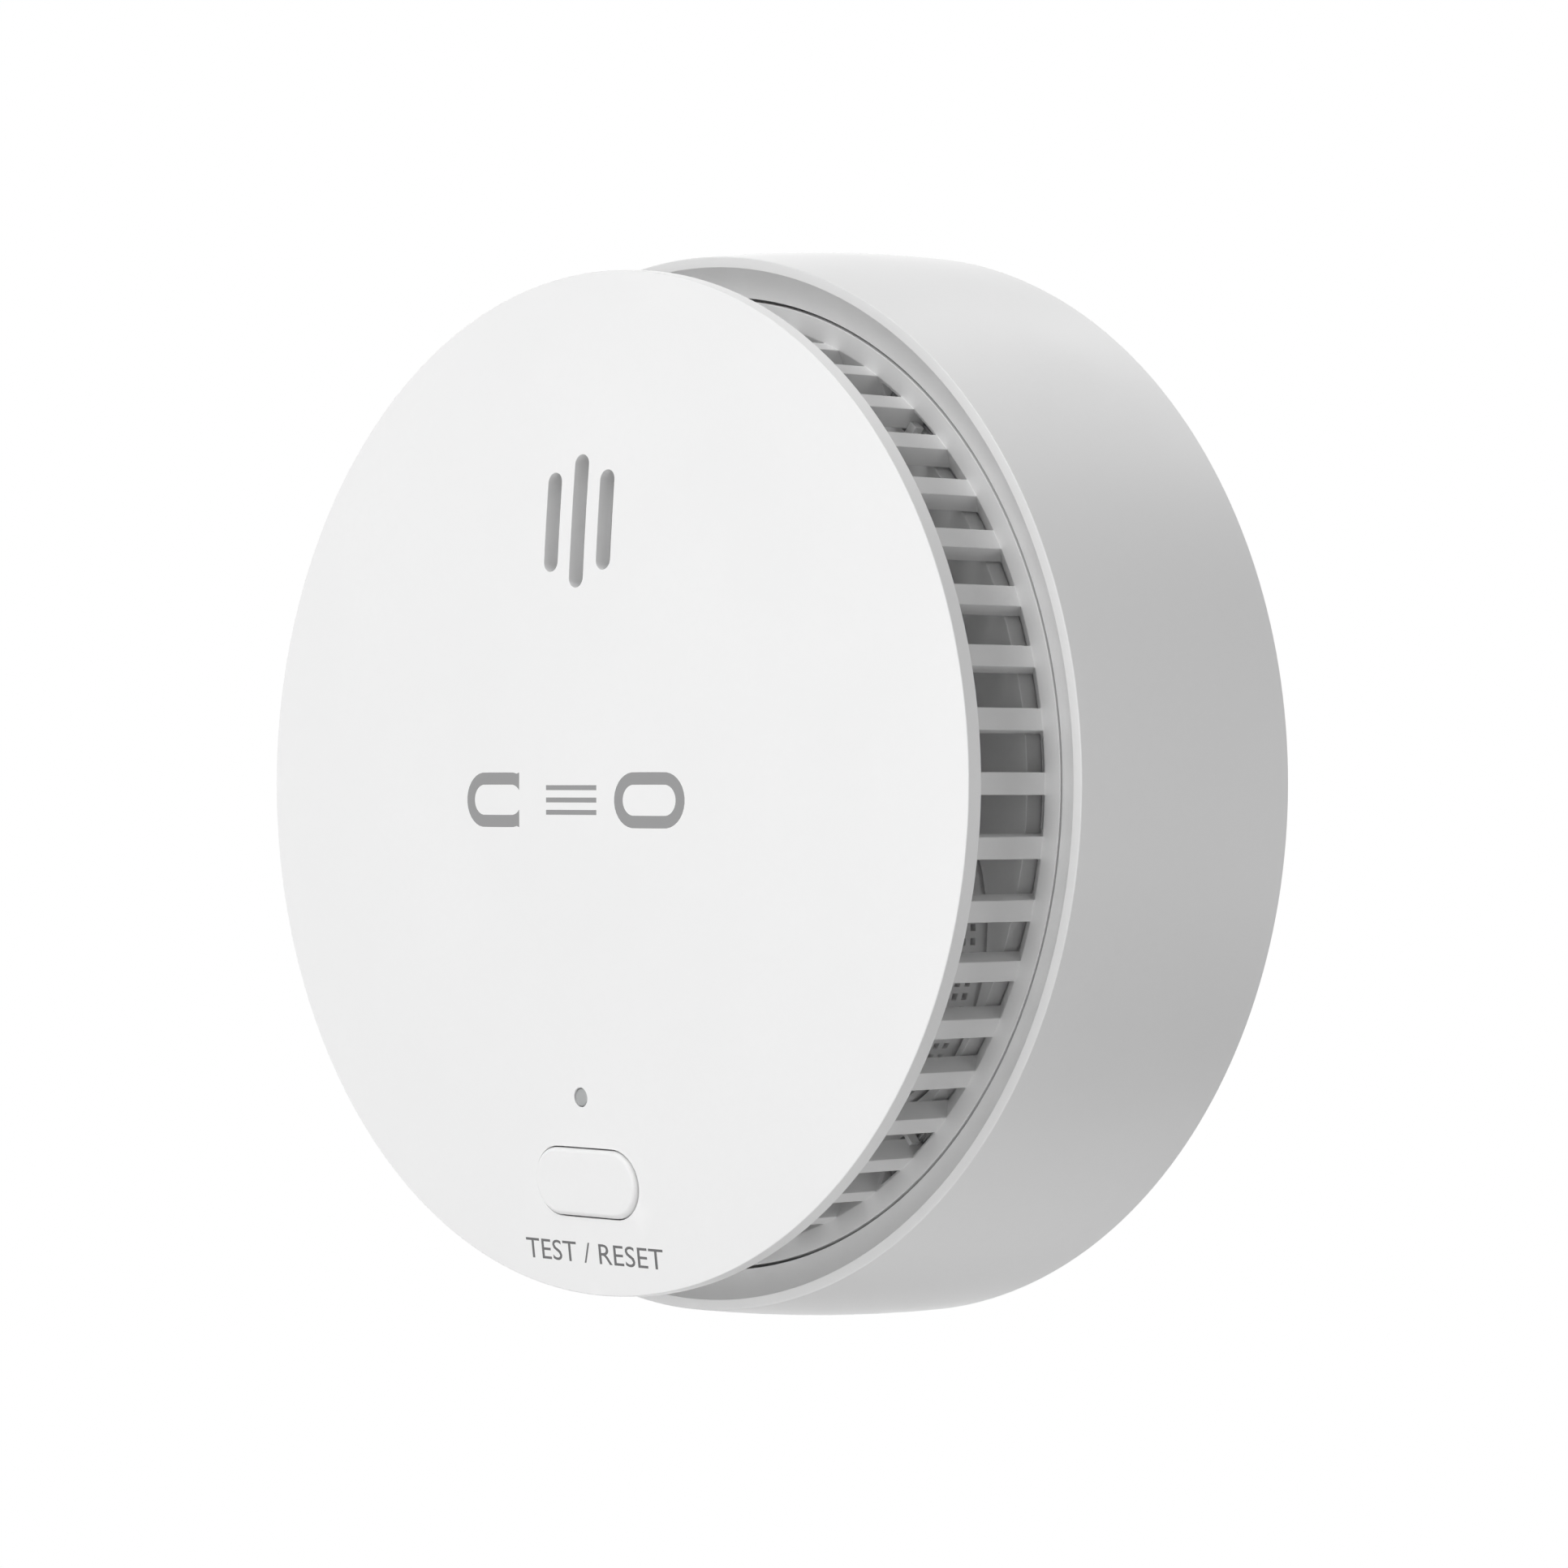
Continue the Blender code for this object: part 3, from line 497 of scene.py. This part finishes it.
WHITE = surface("white_plastic", (0.86, 0.86, 0.86), 0.40)
GRILLE = surface("grille_plastic", (0.87, 0.87, 0.87), 0.46)
INK = surface("grey_ink", (0.27, 0.27, 0.272), 0.50, grain=3500, mottle=0.03, wear=0.0)
DARK_INK = surface("dark_grey_ink", (0.11, 0.11, 0.112), 0.50, grain=3500, mottle=0.03, wear=0.0)
MEMBRANE = surface("dust_membrane", (0.62, 0.62, 0.62), 0.85, grain=4000, bump=0.5, mottle=0.04)
PIPE = make_pipe_finish()
METAL = dict(metallic=1.0, mottle=0.04, wear=0.15)
FINISHES = {
    "white_abs": WHITE,
    "grille_abs": GRILLE,
    "clear_acrylic": PIPE,
    "black_plastic": surface("black_plastic_grained", (0.028, 0.028, 0.030), 0.50, grain=1800,
                             bump=0.15, mottle=0.15, wear=0.8),
    "led_resin": surface("led_resin_clear", (0.72, 0.78, 0.70), 0.18, grain=900),
    "board_green": make_board_finish(),
    "plated_steel": surface("plated_steel_brushed", (0.62, 0.62, 0.60), 0.32, grain=1500,
                            bump=0.12, stretch=(1, 8, 1), **METAL),
    "aluminium": surface("aluminium_can", (0.76, 0.76, 0.77), 0.30, grain=1500, bump=0.10,
                         stretch=(1, 8, 1), **METAL),
    "brass": surface("brass_sheet", (0.80, 0.60, 0.26), 0.32, grain=1300, bump=0.10,
                     stretch=(6, 1, 1), **METAL),
    "ferrite": surface("ferrite_core", (0.07, 0.07, 0.078), 0.62, grain=2200, bump=0.3,
                       mottle=0.2, wear=0.5),
    "ceramic": surface("fired_ceramic", (0.84, 0.83, 0.79), 0.50, grain=2500, bump=0.15),
    "cell_wrap": surface("cell_sleeve", (0.09, 0.15, 0.30), 0.30, grain=300, bump=0.12,
                         mottle=0.08, wear=0.3, stretch=(1, 1, 0.2), depth=0.1),
    "label_film": surface("label_paper", (0.88, 0.88, 0.87), 0.38, grain=1200, bump=0.05),
    "red_sleeve": surface("red_wire_sleeve", (0.58, 0.04, 0.03), 0.42, mottle=0.06, wear=0.2),
    "black_sleeve": surface("black_wire_sleeve", (0.02, 0.02, 0.02), 0.42, mottle=0.2, wear=0.6),
}


# ---------------------------------------------------------------- print

def cut_edges(corners, step=0.9):
    """A closed outline with its long sides divided."""
    points = []
    for (ax, ay), (bx, by) in zip(corners, corners[1:] + corners[:1]):
        count = max(1, math.ceil(math.hypot(bx - ax, by - ay) / step))
        points += [(ax + (bx - ax) * i / count, ay + (by - ay) * i / count) for i in range(count)]
    return points


def as_print(outlines, ink=1):
    """Closed outlines as a print: their points, their edges, an inside test and the ink."""
    points, edges = [], []
    for outline in outlines:
        first = len(points)
        edges += [(first + i, first + (i + 1) % len(outline)) for i in range(len(outline))]
        points += outline
    return points, edges, Polygon(points, edges), ink


def make_emblem():
    """The gas's formula with its triple bond: a round letter C, three bars and a letter O."""
    height, tall, stroke = -1.7, 5.6, 1.25
    letter, bar, gap = 10.0, 7.6, 2.6
    bond, bond_stroke = 1.25, 0.5
    half = tall / 2

    def letter_loop(centre, radius):
        reach = letter / 2 - half
        return Opening((centre - reach, height), (centre + reach, height), radius)

    left = -(bar / 2 + gap + letter / 2)
    right = -left
    mouth_depth = 1.6
    mouth = left + letter / 2 - mouth_depth
    outer = [p for p in letter_loop(left, half).outline() if p[0] < mouth]
    inner = [p for p in letter_loop(left, half - stroke).outline() if p[0] < mouth]

    def from_top(points):
        """The points in order from the mouth's upper corner round the back to its lower one."""
        return sorted(points, key=lambda p: (math.atan2(p[1] - height, p[0] - mouth) % TURN))

    outer, inner = from_top(outer), from_top(inner)
    letter_c = ([(mouth, height + half)] + outer + [(mouth, height - half)]
                + [(mouth, height - half + stroke)] + inner[::-1]
                + [(mouth, height + half - stroke)])
    bars = []
    for lift in (-bond, 0, bond):
        low, high = height + lift - bond_stroke / 2, height + lift + bond_stroke / 2
        bars.append(cut_edges([(-bar / 2, low), (bar / 2, low), (bar / 2, high), (-bar / 2, high)]))
    letter_o = [letter_loop(right, half).outline(), letter_loop(right, half - stroke).outline()]
    return [as_print([cut_edges(letter_c)])] + [as_print([b]) for b in bars] + [as_print(letter_o)]


def make_words(words, width, tall, centre, ink=2):
    """Plain capitals from Blender's own font, fitted to a width and a height, as a print."""
    curve = bpy.data.curves.new("words", "FONT")
    curve.body = words
    curve.resolution_u = 4
    text = bpy.data.objects.new("words", curve)
    mesh = bpy.data.meshes.new_from_object(text)
    low = [min(v.co[i] for v in mesh.vertices) for i in (0, 1)]
    high = [max(v.co[i] for v in mesh.vertices) for i in (0, 1)]
    scale = (width / (high[0] - low[0]), tall / (high[1] - low[1]))
    points = [tuple(centre[i] + (v.co[i] - (low[i] + high[i]) / 2) * scale[i] for i in (0, 1))
              for v in mesh.vertices]
    uses = {}
    for polygon in mesh.polygons:
        for key in polygon.edge_keys:
            uses[key] = uses.get(key, 0) + 1
    edges = [key for key, count in uses.items() if count == 1]
    used = sorted({i for key in edges for i in key})
    numbers = {old: new for new, old in enumerate(used)}
    points = [points[i] for i in used]
    edges = [(numbers[a], numbers[b]) for a, b in edges]
    bpy.data.objects.remove(text)
    bpy.data.curves.remove(curve)
    bpy.data.meshes.remove(mesh)
    return points, edges, Polygon(points, edges), ink


# ---------------------------------------------------------------- cover, button and lamp

def button_outline(gap=0.0):
    radius = BUTTON_SIZE[1] / 2
    reach = BUTTON_SIZE[0] / 2 - radius
    return Opening((BUTTON[0] - reach, BUTTON[1]), (BUTTON[0] + reach, BUTTON[1]), radius + gap)


def cover_openings():
    slots = [Opening((x, low + SLOT_R), (x, high - SLOT_R), SLOT_R) for x, low, high in SOUND_SLOTS]
    lamp = Opening(LAMP, LAMP, LAMP_HOLE_R)
    return slots + [lamp, button_outline(BUTTON_GAP)]


def make_cover():
    openings = cover_openings()
    prints = make_emblem() + [make_words("TEST / RESET", 20.6, 2.1, (0.0, -47.7))]
    steps = 256
    shape = Shape()
    top = pave(shape, circle(DISC_R - EDGE_ROUND, steps), openings, dome, OPENING_ROUND, prints,
               dome_normals=True)
    below = pave(shape, circle(HOLLOW_R, steps), openings, lambda x, y: dome(x, y) - SKIN,
                 spacing=4.0)
    depths = [SLOT_DROP] * len(SOUND_SLOTS) + [LAMP_DROP, BUTTON_DROP]
    for opening, depth, face_row, back_row in zip(openings, depths, top[1:], below[1:]):
        last = face_row
        for inset, drop in quarter(OPENING_ROUND, 3)[1:]:
            level = drop * depth / OPENING_ROUND
            row = shape.loop(opening.outline(inset), lambda x, y: dome(x, y) - level)
            shape.strip(last, row)
            last = row
        shape.strip(last, back_row)
    rim_top = RIM_H - SKIM
    foot_chamfer = 0.1
    profile = [(DISC_R - inset, rim_top - drop) for inset, drop in quarter(EDGE_ROUND, 3)[1:]]
    profile += [(DISC_R, rim_top - EDGE_ROUND - LOOP),
                (BAND_R, BAND_LOW + foot_chamfer + LOOP), (BAND_R, BAND_LOW + foot_chamfer),
                (BAND_R - foot_chamfer, BAND_LOW), (BAND_R - foot_chamfer - LOOP, BAND_LOW),
                (HOLLOW_R + 0.2, BAND_LOW)]
    last = top[0]
    for radius, height in profile:
        row = shape.loop(circle(radius, steps), height)
        shape.strip(last, row)
        last = row
    shape.strip(last, below[0])
    add_piece("cover", shape, [WHITE, INK, DARK_INK], stands_for=("front_cover",),
              sharp=40)


def make_sound_membrane():
    """A pale dust membrane on the underside of the cover, behind the sound slots."""
    radius, gap, thickness = 8.4, 0.05, 0.15
    slots_middle = (SOUND_SLOTS[0][1] + SOUND_SLOTS[0][2]) / 2
    rim = circle(radius, 64, (0.0, slots_middle))
    shape = Shape()
    top, low = [pave(shape, rim, [], lambda x, y: dome(x, y) - SKIN - depth, spacing=1.5)[0]
                for depth in (gap, gap + thickness)]
    shape.strip(top, low)
    add_piece("sound_membrane", shape, [MEMBRANE])


def make_button():
    """The key, the stem that reaches the switch, and the two tabs that hold it under the cover."""
    key = button_outline()
    arc = 24
    foot = 40.7
    stem_low = extent("test_button")[0][2]
    stem_chamfer = 0.2
    stem = Opening(BUTTON, BUTTON, 1.6)
    shape = Shape()

    def top(x, y):
        return dome(x, y) + BUTTON_PROUD

    last = pave(shape, key.outline(-BUTTON_ROUND, arc), [], top, spacing=1.2, dome_normals=True)[0]
    for inset, drop in quarter(BUTTON_ROUND, 6)[1:]:
        row = shape.loop(key.outline(-inset, arc), lambda x, y: top(x, y) - drop)
        shape.strip(last, row)
        last = row
    floor = pave(shape, key.outline(0, arc), [stem], lambda x, y: foot, spacing=2.4)
    shape.strip(last, floor[0])
    end = shape.loop(stem.outline(), stem_low + stem_chamfer)
    tip = shape.loop(stem.outline(-stem_chamfer), stem_low)
    shape.strip(floor[1], end)
    shape.strip(end, tip)
    shape.face(tip)
    tab_reach, tab_root, tab_half, tab_low, tab_top = 9.5, 4.0, 3.0, 40.3, 41.3
    for side in (-1, 1):
        far, near = BUTTON[0] + side * tab_reach, BUTTON[0] + side * tab_root
        under, over = BUTTON[1] - tab_half, BUTTON[1] + tab_half
        tab = cut_edges([(far, under), (far, over), (near, over), (near, under)])
        low, high = shape.loop(tab, tab_low), shape.loop(tab, tab_top)
        shape.strip(low, high)
        shape.face(low)
        shape.face(high)
    add_piece("button_key", shape, [WHITE], body="button", stands_for=("test_button",),
              sharp=50)


def make_light_pipe():
    """A stepped rod with a collar, chamfered at the collar and the foot."""
    tip = dome(*LAMP) - 0.05
    foot = extent("light_pipe")[0][2]
    shoulder, collar_top, collar_low = 42.6, 28.5, 27.45
    rod_r, collar_r, foot_r, chamfer, fillet = 1.7, 2.9, 1.4, 0.1, 0.05
    shape = Shape()
    shape.lathe([(0, tip), (0.5 * LAMP_TIP_R, tip - 0.01), (LAMP_TIP_R - 0.12, tip - 0.04),
                 (LAMP_TIP_R - 0.03, tip - 0.09), (LAMP_TIP_R, tip - 0.2),
                 (LAMP_TIP_R, shoulder + 0.2), (1.2, shoulder),
                 (rod_r - 0.08, shoulder - chamfer), (rod_r, shoulder - 2 * chamfer),
                 (rod_r, collar_top + fillet), (collar_r - chamfer, collar_top),
                 (collar_r, collar_top - chamfer), (collar_r, collar_low + chamfer),
                 (collar_r - chamfer, collar_low), (rod_r, collar_low), (foot_r, foot + chamfer),
                 (foot_r - chamfer, foot), (0, foot)], 48, LAMP)
    add_piece("lamp_light_pipe", shape, [PIPE], stands_for=("light_pipe",))


# ---------------------------------------------------------------- vents

def rib_angle(rib, stop, radius):
    """Degrees of a station round the vents: stops 0 and 1 are a rib's sides, the rest follow it."""
    pitch = 360 / RIB_COUNT
    if stop < 2:
        side = math.degrees(math.asin(RIB_WIDTH / 2 / radius))
        return rib * pitch + (side if stop else -side)
    return rib * pitch + STOPS[stop - 2]


def make_vent_frame():
    def sill(radius):
        return SILL_H - SILL_FALL * (RIB_R - radius) / (RIB_R - RIB_INNER_R)

    inner_slot, outer_slot = SLOT_RADII
    profile = {
        "foot": (FLANGE_R, FLANGE_LOW), "flange": (FLANGE_R, FLANGE_H),
        "sill_out": (RIB_R, SILL_H), "slot_out": (outer_slot, sill(outer_slot)),
        "slot_in": (inner_slot, sill(inner_slot)), "sill_in": (RIB_INNER_R, sill(RIB_INNER_R)),
        "foot_in": (RIB_INNER_R, FLANGE_LOW), "under_in": (inner_slot, FLANGE_LOW),
        "under_out": (outer_slot, FLANGE_LOW), "ring_low_out": (RIB_R, RING_H[0]),
        "ring_top_out": (RIB_R, RING_H[1]), "ring_top_in": (RIB_INNER_R, RING_H[1]),
        "ring_low_in": (RIB_INNER_R, RING_H[0])}
    all_round = (("foot", "flange"), ("flange", "sill_out"), ("sill_in", "foot_in"),
                 ("foot_in", "under_in"), ("under_out", "foot"), ("ring_low_out", "ring_top_out"),
                 ("ring_top_out", "ring_top_in"), ("ring_top_in", "ring_low_in"))
    at_rib = (("sill_out", "ring_low_out"), ("ring_low_in", "sill_in"), ("under_in", "under_out"))
    at_window = (("sill_out", "slot_out"), ("slot_in", "sill_in"), ("ring_low_in", "ring_low_out"))
    at_slot = (("slot_out", "under_out"), ("under_in", "slot_in"))
    at_sill = (("slot_out", "slot_in"), ("under_in", "under_out"))
    shape = Shape()
    placed = {}
    stations = len(STOPS) + 2

    def spot(station, name):
        rib, stop = divmod(station % (RIB_COUNT * stations), stations)
        key = (rib, stop, name)
        if key not in placed:
            radius, height = profile[name]
            turn = math.radians(rib_angle(rib, stop, radius))
            placed[key] = shape.point(radius * math.cos(turn), radius * math.sin(turn), height)
        return placed[key]

    pitch = 360 / RIB_COUNT
    slotted = set()
    for centre in SLOT_CENTRES:
        rib = round(centre / pitch)
        slotted |= {(rib, 1), (rib, 2), (rib, 3)}
        slotted |= {((rib - 1) % RIB_COUNT, stop) for stop in (2, 3, 4)}

    def slot_here(station):
        return divmod(station % (RIB_COUNT * stations), stations) in slotted

    for station in range(RIB_COUNT * stations):
        stop = station % stations
        pairs = all_round
        if stop == 0:
            pairs += at_rib
        else:
            pairs += at_window + (at_slot if slot_here(station) else at_sill)
        for first, second in pairs:
            shape.face((spot(station, first), spot(station + 1, first),
                        spot(station + 1, second), spot(station, second)))
        if stop < 2:
            side = ("sill_out", "ring_low_out", "ring_low_in", "sill_in", "slot_in", "slot_out")
            shape.face([spot(station, name) for name in side])
        if slot_here(station) != slot_here(station - 1):
            wall = ("slot_out", "slot_in", "under_in", "under_out")
            shape.face([spot(station, name) for name in wall])
    add_piece("vent_ring", shape, [GRILLE], stands_for=("vent_frame",),
              bevel=0.10)


def make_shell():
    height = SHELL_LIP[1] - SHELL_BACK[1]

    def outer(level):
        lean = (level - SHELL_BACK[1]) / height
        return SHELL_BACK[0] - (SHELL_BACK[0] - SHELL_LIP[0]) * lean ** 2

    profile = [(outer(z), z) for z in spread(SHELL_BACK[1] + BACK_ROUND, SHELL_LIP[1] - LIP_ROUND, 20)]
    profile += [(SHELL_LIP[0] - inset, SHELL_LIP[1] - drop)
                for inset, drop in quarter(LIP_ROUND, 3)[::-1][1:]]
    profile += [(LIP_INNER_R + inset, SHELL_LIP[1] - drop) for inset, drop in quarter(DISH_ROUND, 2)]
    for t in spread(1, 0, 12)[1:]:
        profile.append((DISH[0] + (LIP_INNER_R - DISH[0]) * t ** DISH_BEND[0],
                        DISH[1] + (SHELL_LIP[1] - DISH_ROUND - DISH[1]) * t ** DISH_BEND[1]))
    profile += [(DISH[0], LEDGE_H[1])]
    inner_slot, outer_slot = SLOT_RADII
    top_out, top_in = len(profile), len(profile) + 1
    profile += [(outer_slot, LEDGE_H[1]), (inner_slot, LEDGE_H[1]), (LEDGE_R, LEDGE_H[1]),
                (LEDGE_R, LEDGE_H[0])]
    low_in, low_out = len(profile), len(profile) + 1
    profile += [(inner_slot, LEDGE_H[0]), (outer_slot, LEDGE_H[0])]
    profile += [(outer(z) - SHELL_WALL, z) for z in spread(LEDGE_H[0], SHELL_BACK[1], 4)]
    profile += [(outer(SHELL_BACK[1]) - BACK_ROUND, SHELL_BACK[1])]

    edges = {(centre + side * SLOT_HALF) % 360 for centre in SLOT_CENTRES for side in (-1, 1)}
    spacing, keep_off = 1.5, 0.4
    regular = [i * spacing for i in range(round(360 / spacing))]
    clear = {turn for turn in regular if all(abs(turn - edge) > keep_off for edge in edges)}
    turns = sorted(edges | clear)
    shape = Shape()
    columns = []
    for turn in turns:
        c, s = math.cos(math.radians(turn)), math.sin(math.radians(turn))
        columns.append([shape.point(r * c, r * s, h) for r, h in profile])

    def open_after(i):
        middle = turns[i % len(turns)] + keep_off / 2
        return any(abs((middle - c + 180) % 360 - 180) < SLOT_HALF for c in SLOT_CENTRES)

    count = len(profile)
    for i, column in enumerate(columns):
        following = columns[(i + 1) % len(columns)]
        for j in range(count):
            k = (j + 1) % count
            if open_after(i) and (j == top_out or j == low_in):
                continue
            shape.face((column[j], following[j], following[k], column[k]))
        if open_after(i):
            for a, b in ((top_out, low_out), (low_in, top_in)):
                shape.face((column[a], following[a], following[b], column[b]))
        if open_after(i) != open_after(i - 1):
            shape.face((column[top_out], column[top_in], column[low_in], column[low_out]))
    add_piece("outer_shell", shape, [WHITE], stands_for=("housing_shell",),
              sharp=40)


def make_cage():
    shape = Shape()
    half = CAGE_HOLE / 2 / CAGE_R
    turns = []
    for column in range(CAGE_COLUMNS):
        middle = TURN * column / CAGE_COLUMNS
        turns += [middle - half, middle + half]
    levels = [CAGE_H[0]]
    for row in range(CAGE_ROWS):
        low = CAGE_FIRST_ROW + row * CAGE_PITCH
        levels += [low, low + CAGE_HOLE]
    levels.append(CAGE_H[1])

    def grid(radius):
        return [[shape.point(CAGE[0] + radius * math.cos(t), CAGE[1] + radius * math.sin(t), h)
                 for t in turns] for h in levels]

    outer, inner = grid(CAGE_R), grid(CAGE_INNER_R)
    count = len(turns)
    for row in range(len(levels) - 1):
        for column in range(count):
            after = (column + 1) % count
            corners = ((row, column), (row, after), (row + 1, after), (row + 1, column))
            if row % 2 and column % 2 == 0:
                for (ra, ca), (rb, cb) in zip(corners, corners[1:] + corners[:1]):
                    shape.face((outer[ra][ca], outer[rb][cb], inner[rb][cb], inner[ra][ca]))
            else:
                shape.face([outer[r][c] for r, c in corners])
                shape.face([inner[r][c] for r, c in corners])
    shape.strip(outer[0], inner[0])
    shape.strip(outer[-1], inner[-1])
    leg_inner, leg_outer, leg_half, leg_overlap = CAGE_INNER_R + 0.1, CAGE_R - 0.1, 10, 0.3
    for angle in (23, 143, 263):
        sides = (angle - leg_half, angle, angle + leg_half)
        leg = [polar(leg_outer, side) for side in sides]
        leg += [polar(leg_inner, side) for side in reversed(sides)]
        leg = [(CAGE[0] + x, CAGE[1] + y) for x, y in leg]
        low, high = shape.loop(leg, CAGE_FOOT), shape.loop(leg, CAGE_H[0] + leg_overlap)
        shape.strip(low, high)
        shape.face(low)
        shape.face(high)
    add_piece("cage_mesh", shape, [GRILLE], stands_for=("sensor_cage",))


def make_deck_hooks():
    """Snap hooks of the deck that stand in four of the sill's slots, either side of a rib."""
    shape = Shape()
    inner, outer, low, high = 45.0, 46.35, 25.9, 27.10
    for centre in SLOT_CENTRES:
        if centre % 180 == 0:
            continue
        for start, end in ((-2.65, -1.40), (1.40, 2.0)):
            corners = [polar(radius, centre + angle) for radius, angle in
                       ((inner, start), (outer, start), (outer, end), (inner, end))]
            below, above = shape.loop(corners, low), shape.loop(corners, high)
            shape.strip(below, above)
            shape.face(below)
            shape.face(above)
    add_piece("deck_hooks", shape, [GRILLE], bevel=0.05)


# ---------------------------------------------------------------- CAD pieces that stay

def dress_nodes():
    """Gives each remaining CAD node its material and slightly rounded edges."""
    shown = [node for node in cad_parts.values() if not node.hide_render]
    for node in shown:
        for place in node.material_slots:
            place.material = FINISHES[place.material.name.split(".")[0]]
        weld = node.modifiers.new("Weld", "WELD")
        weld.merge_threshold = 0.002 * MM
        round_edges(node, 0.08, 40)


# ---------------------------------------------------------------- stage, light and camera

def make_floor():
    low, radius, steps = -0.45, 0.9, 96
    mesh = bpy.data.meshes.new("floor")
    mesh.from_pydata([(x, y, low) for x, y in circle(radius, steps)], [], [tuple(range(steps))])
    mesh.materials.append(surface("floor_paper", (0.92, 0.92, 0.92), 0.8, grain=400, bump=0.02,
                                  wear=0.0))
    floor = bpy.data.objects.new("floor", mesh)
    bpy.context.scene.collection.objects.link(floor)


def make_world():
    """A white studio: white where the camera sees it or a glossy surface mirrors it.

    All other rays find the walls dim, so the soft boxes do most of the lighting.
    """
    world = bpy.data.worlds.new("studio")
    bpy.context.scene.world = world
    world.use_nodes = True
    tree = world.node_tree
    tree.nodes.clear()
    path = tree.nodes.new("ShaderNodeLightPath")
    output = tree.nodes.new("ShaderNodeOutputWorld")

    def wall(name, strength):
        background = tree.nodes.new("ShaderNodeBackground")
        background.name = name
        background.inputs["Color"].default_value = (1, 1, 1, 1)
        background.inputs["Strength"].default_value = strength
        return background.outputs["Background"]

    shown = wall("walls", WALL_LIGHT)
    for ray, strength in (("Is Glossy Ray", WALL_MIRRORED), ("Is Camera Ray", WALL_SEEN)):
        mix = tree.nodes.new("ShaderNodeMixShader")
        tree.links.new(path.outputs[ray], mix.inputs["Fac"])
        tree.links.new(shown, mix.inputs[1])
        tree.links.new(wall(ray, strength), mix.inputs[2])
        shown = mix.outputs["Shader"]
    tree.links.new(shown, output.inputs["Surface"])


def add_light(name, azimuth, elevation, distance, size, power):
    """A square soft box that faces the object and doesn't show itself."""
    across, up = math.radians(azimuth), math.radians(elevation)
    place = distance * Vector((math.sin(across) * math.cos(up), -math.cos(across) * math.cos(up),
                               math.sin(up)))
    light = bpy.data.lights.new(name, "AREA")
    light.shape = "SQUARE"
    light.size = size
    light.energy = power
    lamp = bpy.data.objects.new(name, light)
    lamp.location = place
    lamp.rotation_euler = (-place).to_track_quat("-Z", "Y").to_euler()
    lamp.visible_camera = False
    bpy.context.scene.collection.objects.link(lamp)


def make_camera():
    camera = bpy.data.cameras.new("camera")
    camera.lens = 119.25
    camera.sensor_width = 36
    camera.clip_start = 0.01
    camera.clip_end = 20
    thing = bpy.data.objects.new("camera", camera)
    thing.location = (0.39074, -0.39739, -0.00067)
    thing.rotation_euler = [math.radians(angle) for angle in (90.068, -0.088, 45.708)]
    bpy.context.scene.collection.objects.link(thing)
    bpy.context.scene.camera = thing


make_camera()
make_cover()
make_sound_membrane()
make_button()
make_light_pipe()
make_vent_frame()
make_shell()
make_cage()
make_deck_hooks()
dress_nodes()
make_floor()
make_world()
for name, settings in LIGHTS.items():
    add_light(name, **settings)
bpy.context.scene.view_settings.view_transform = "Standard"
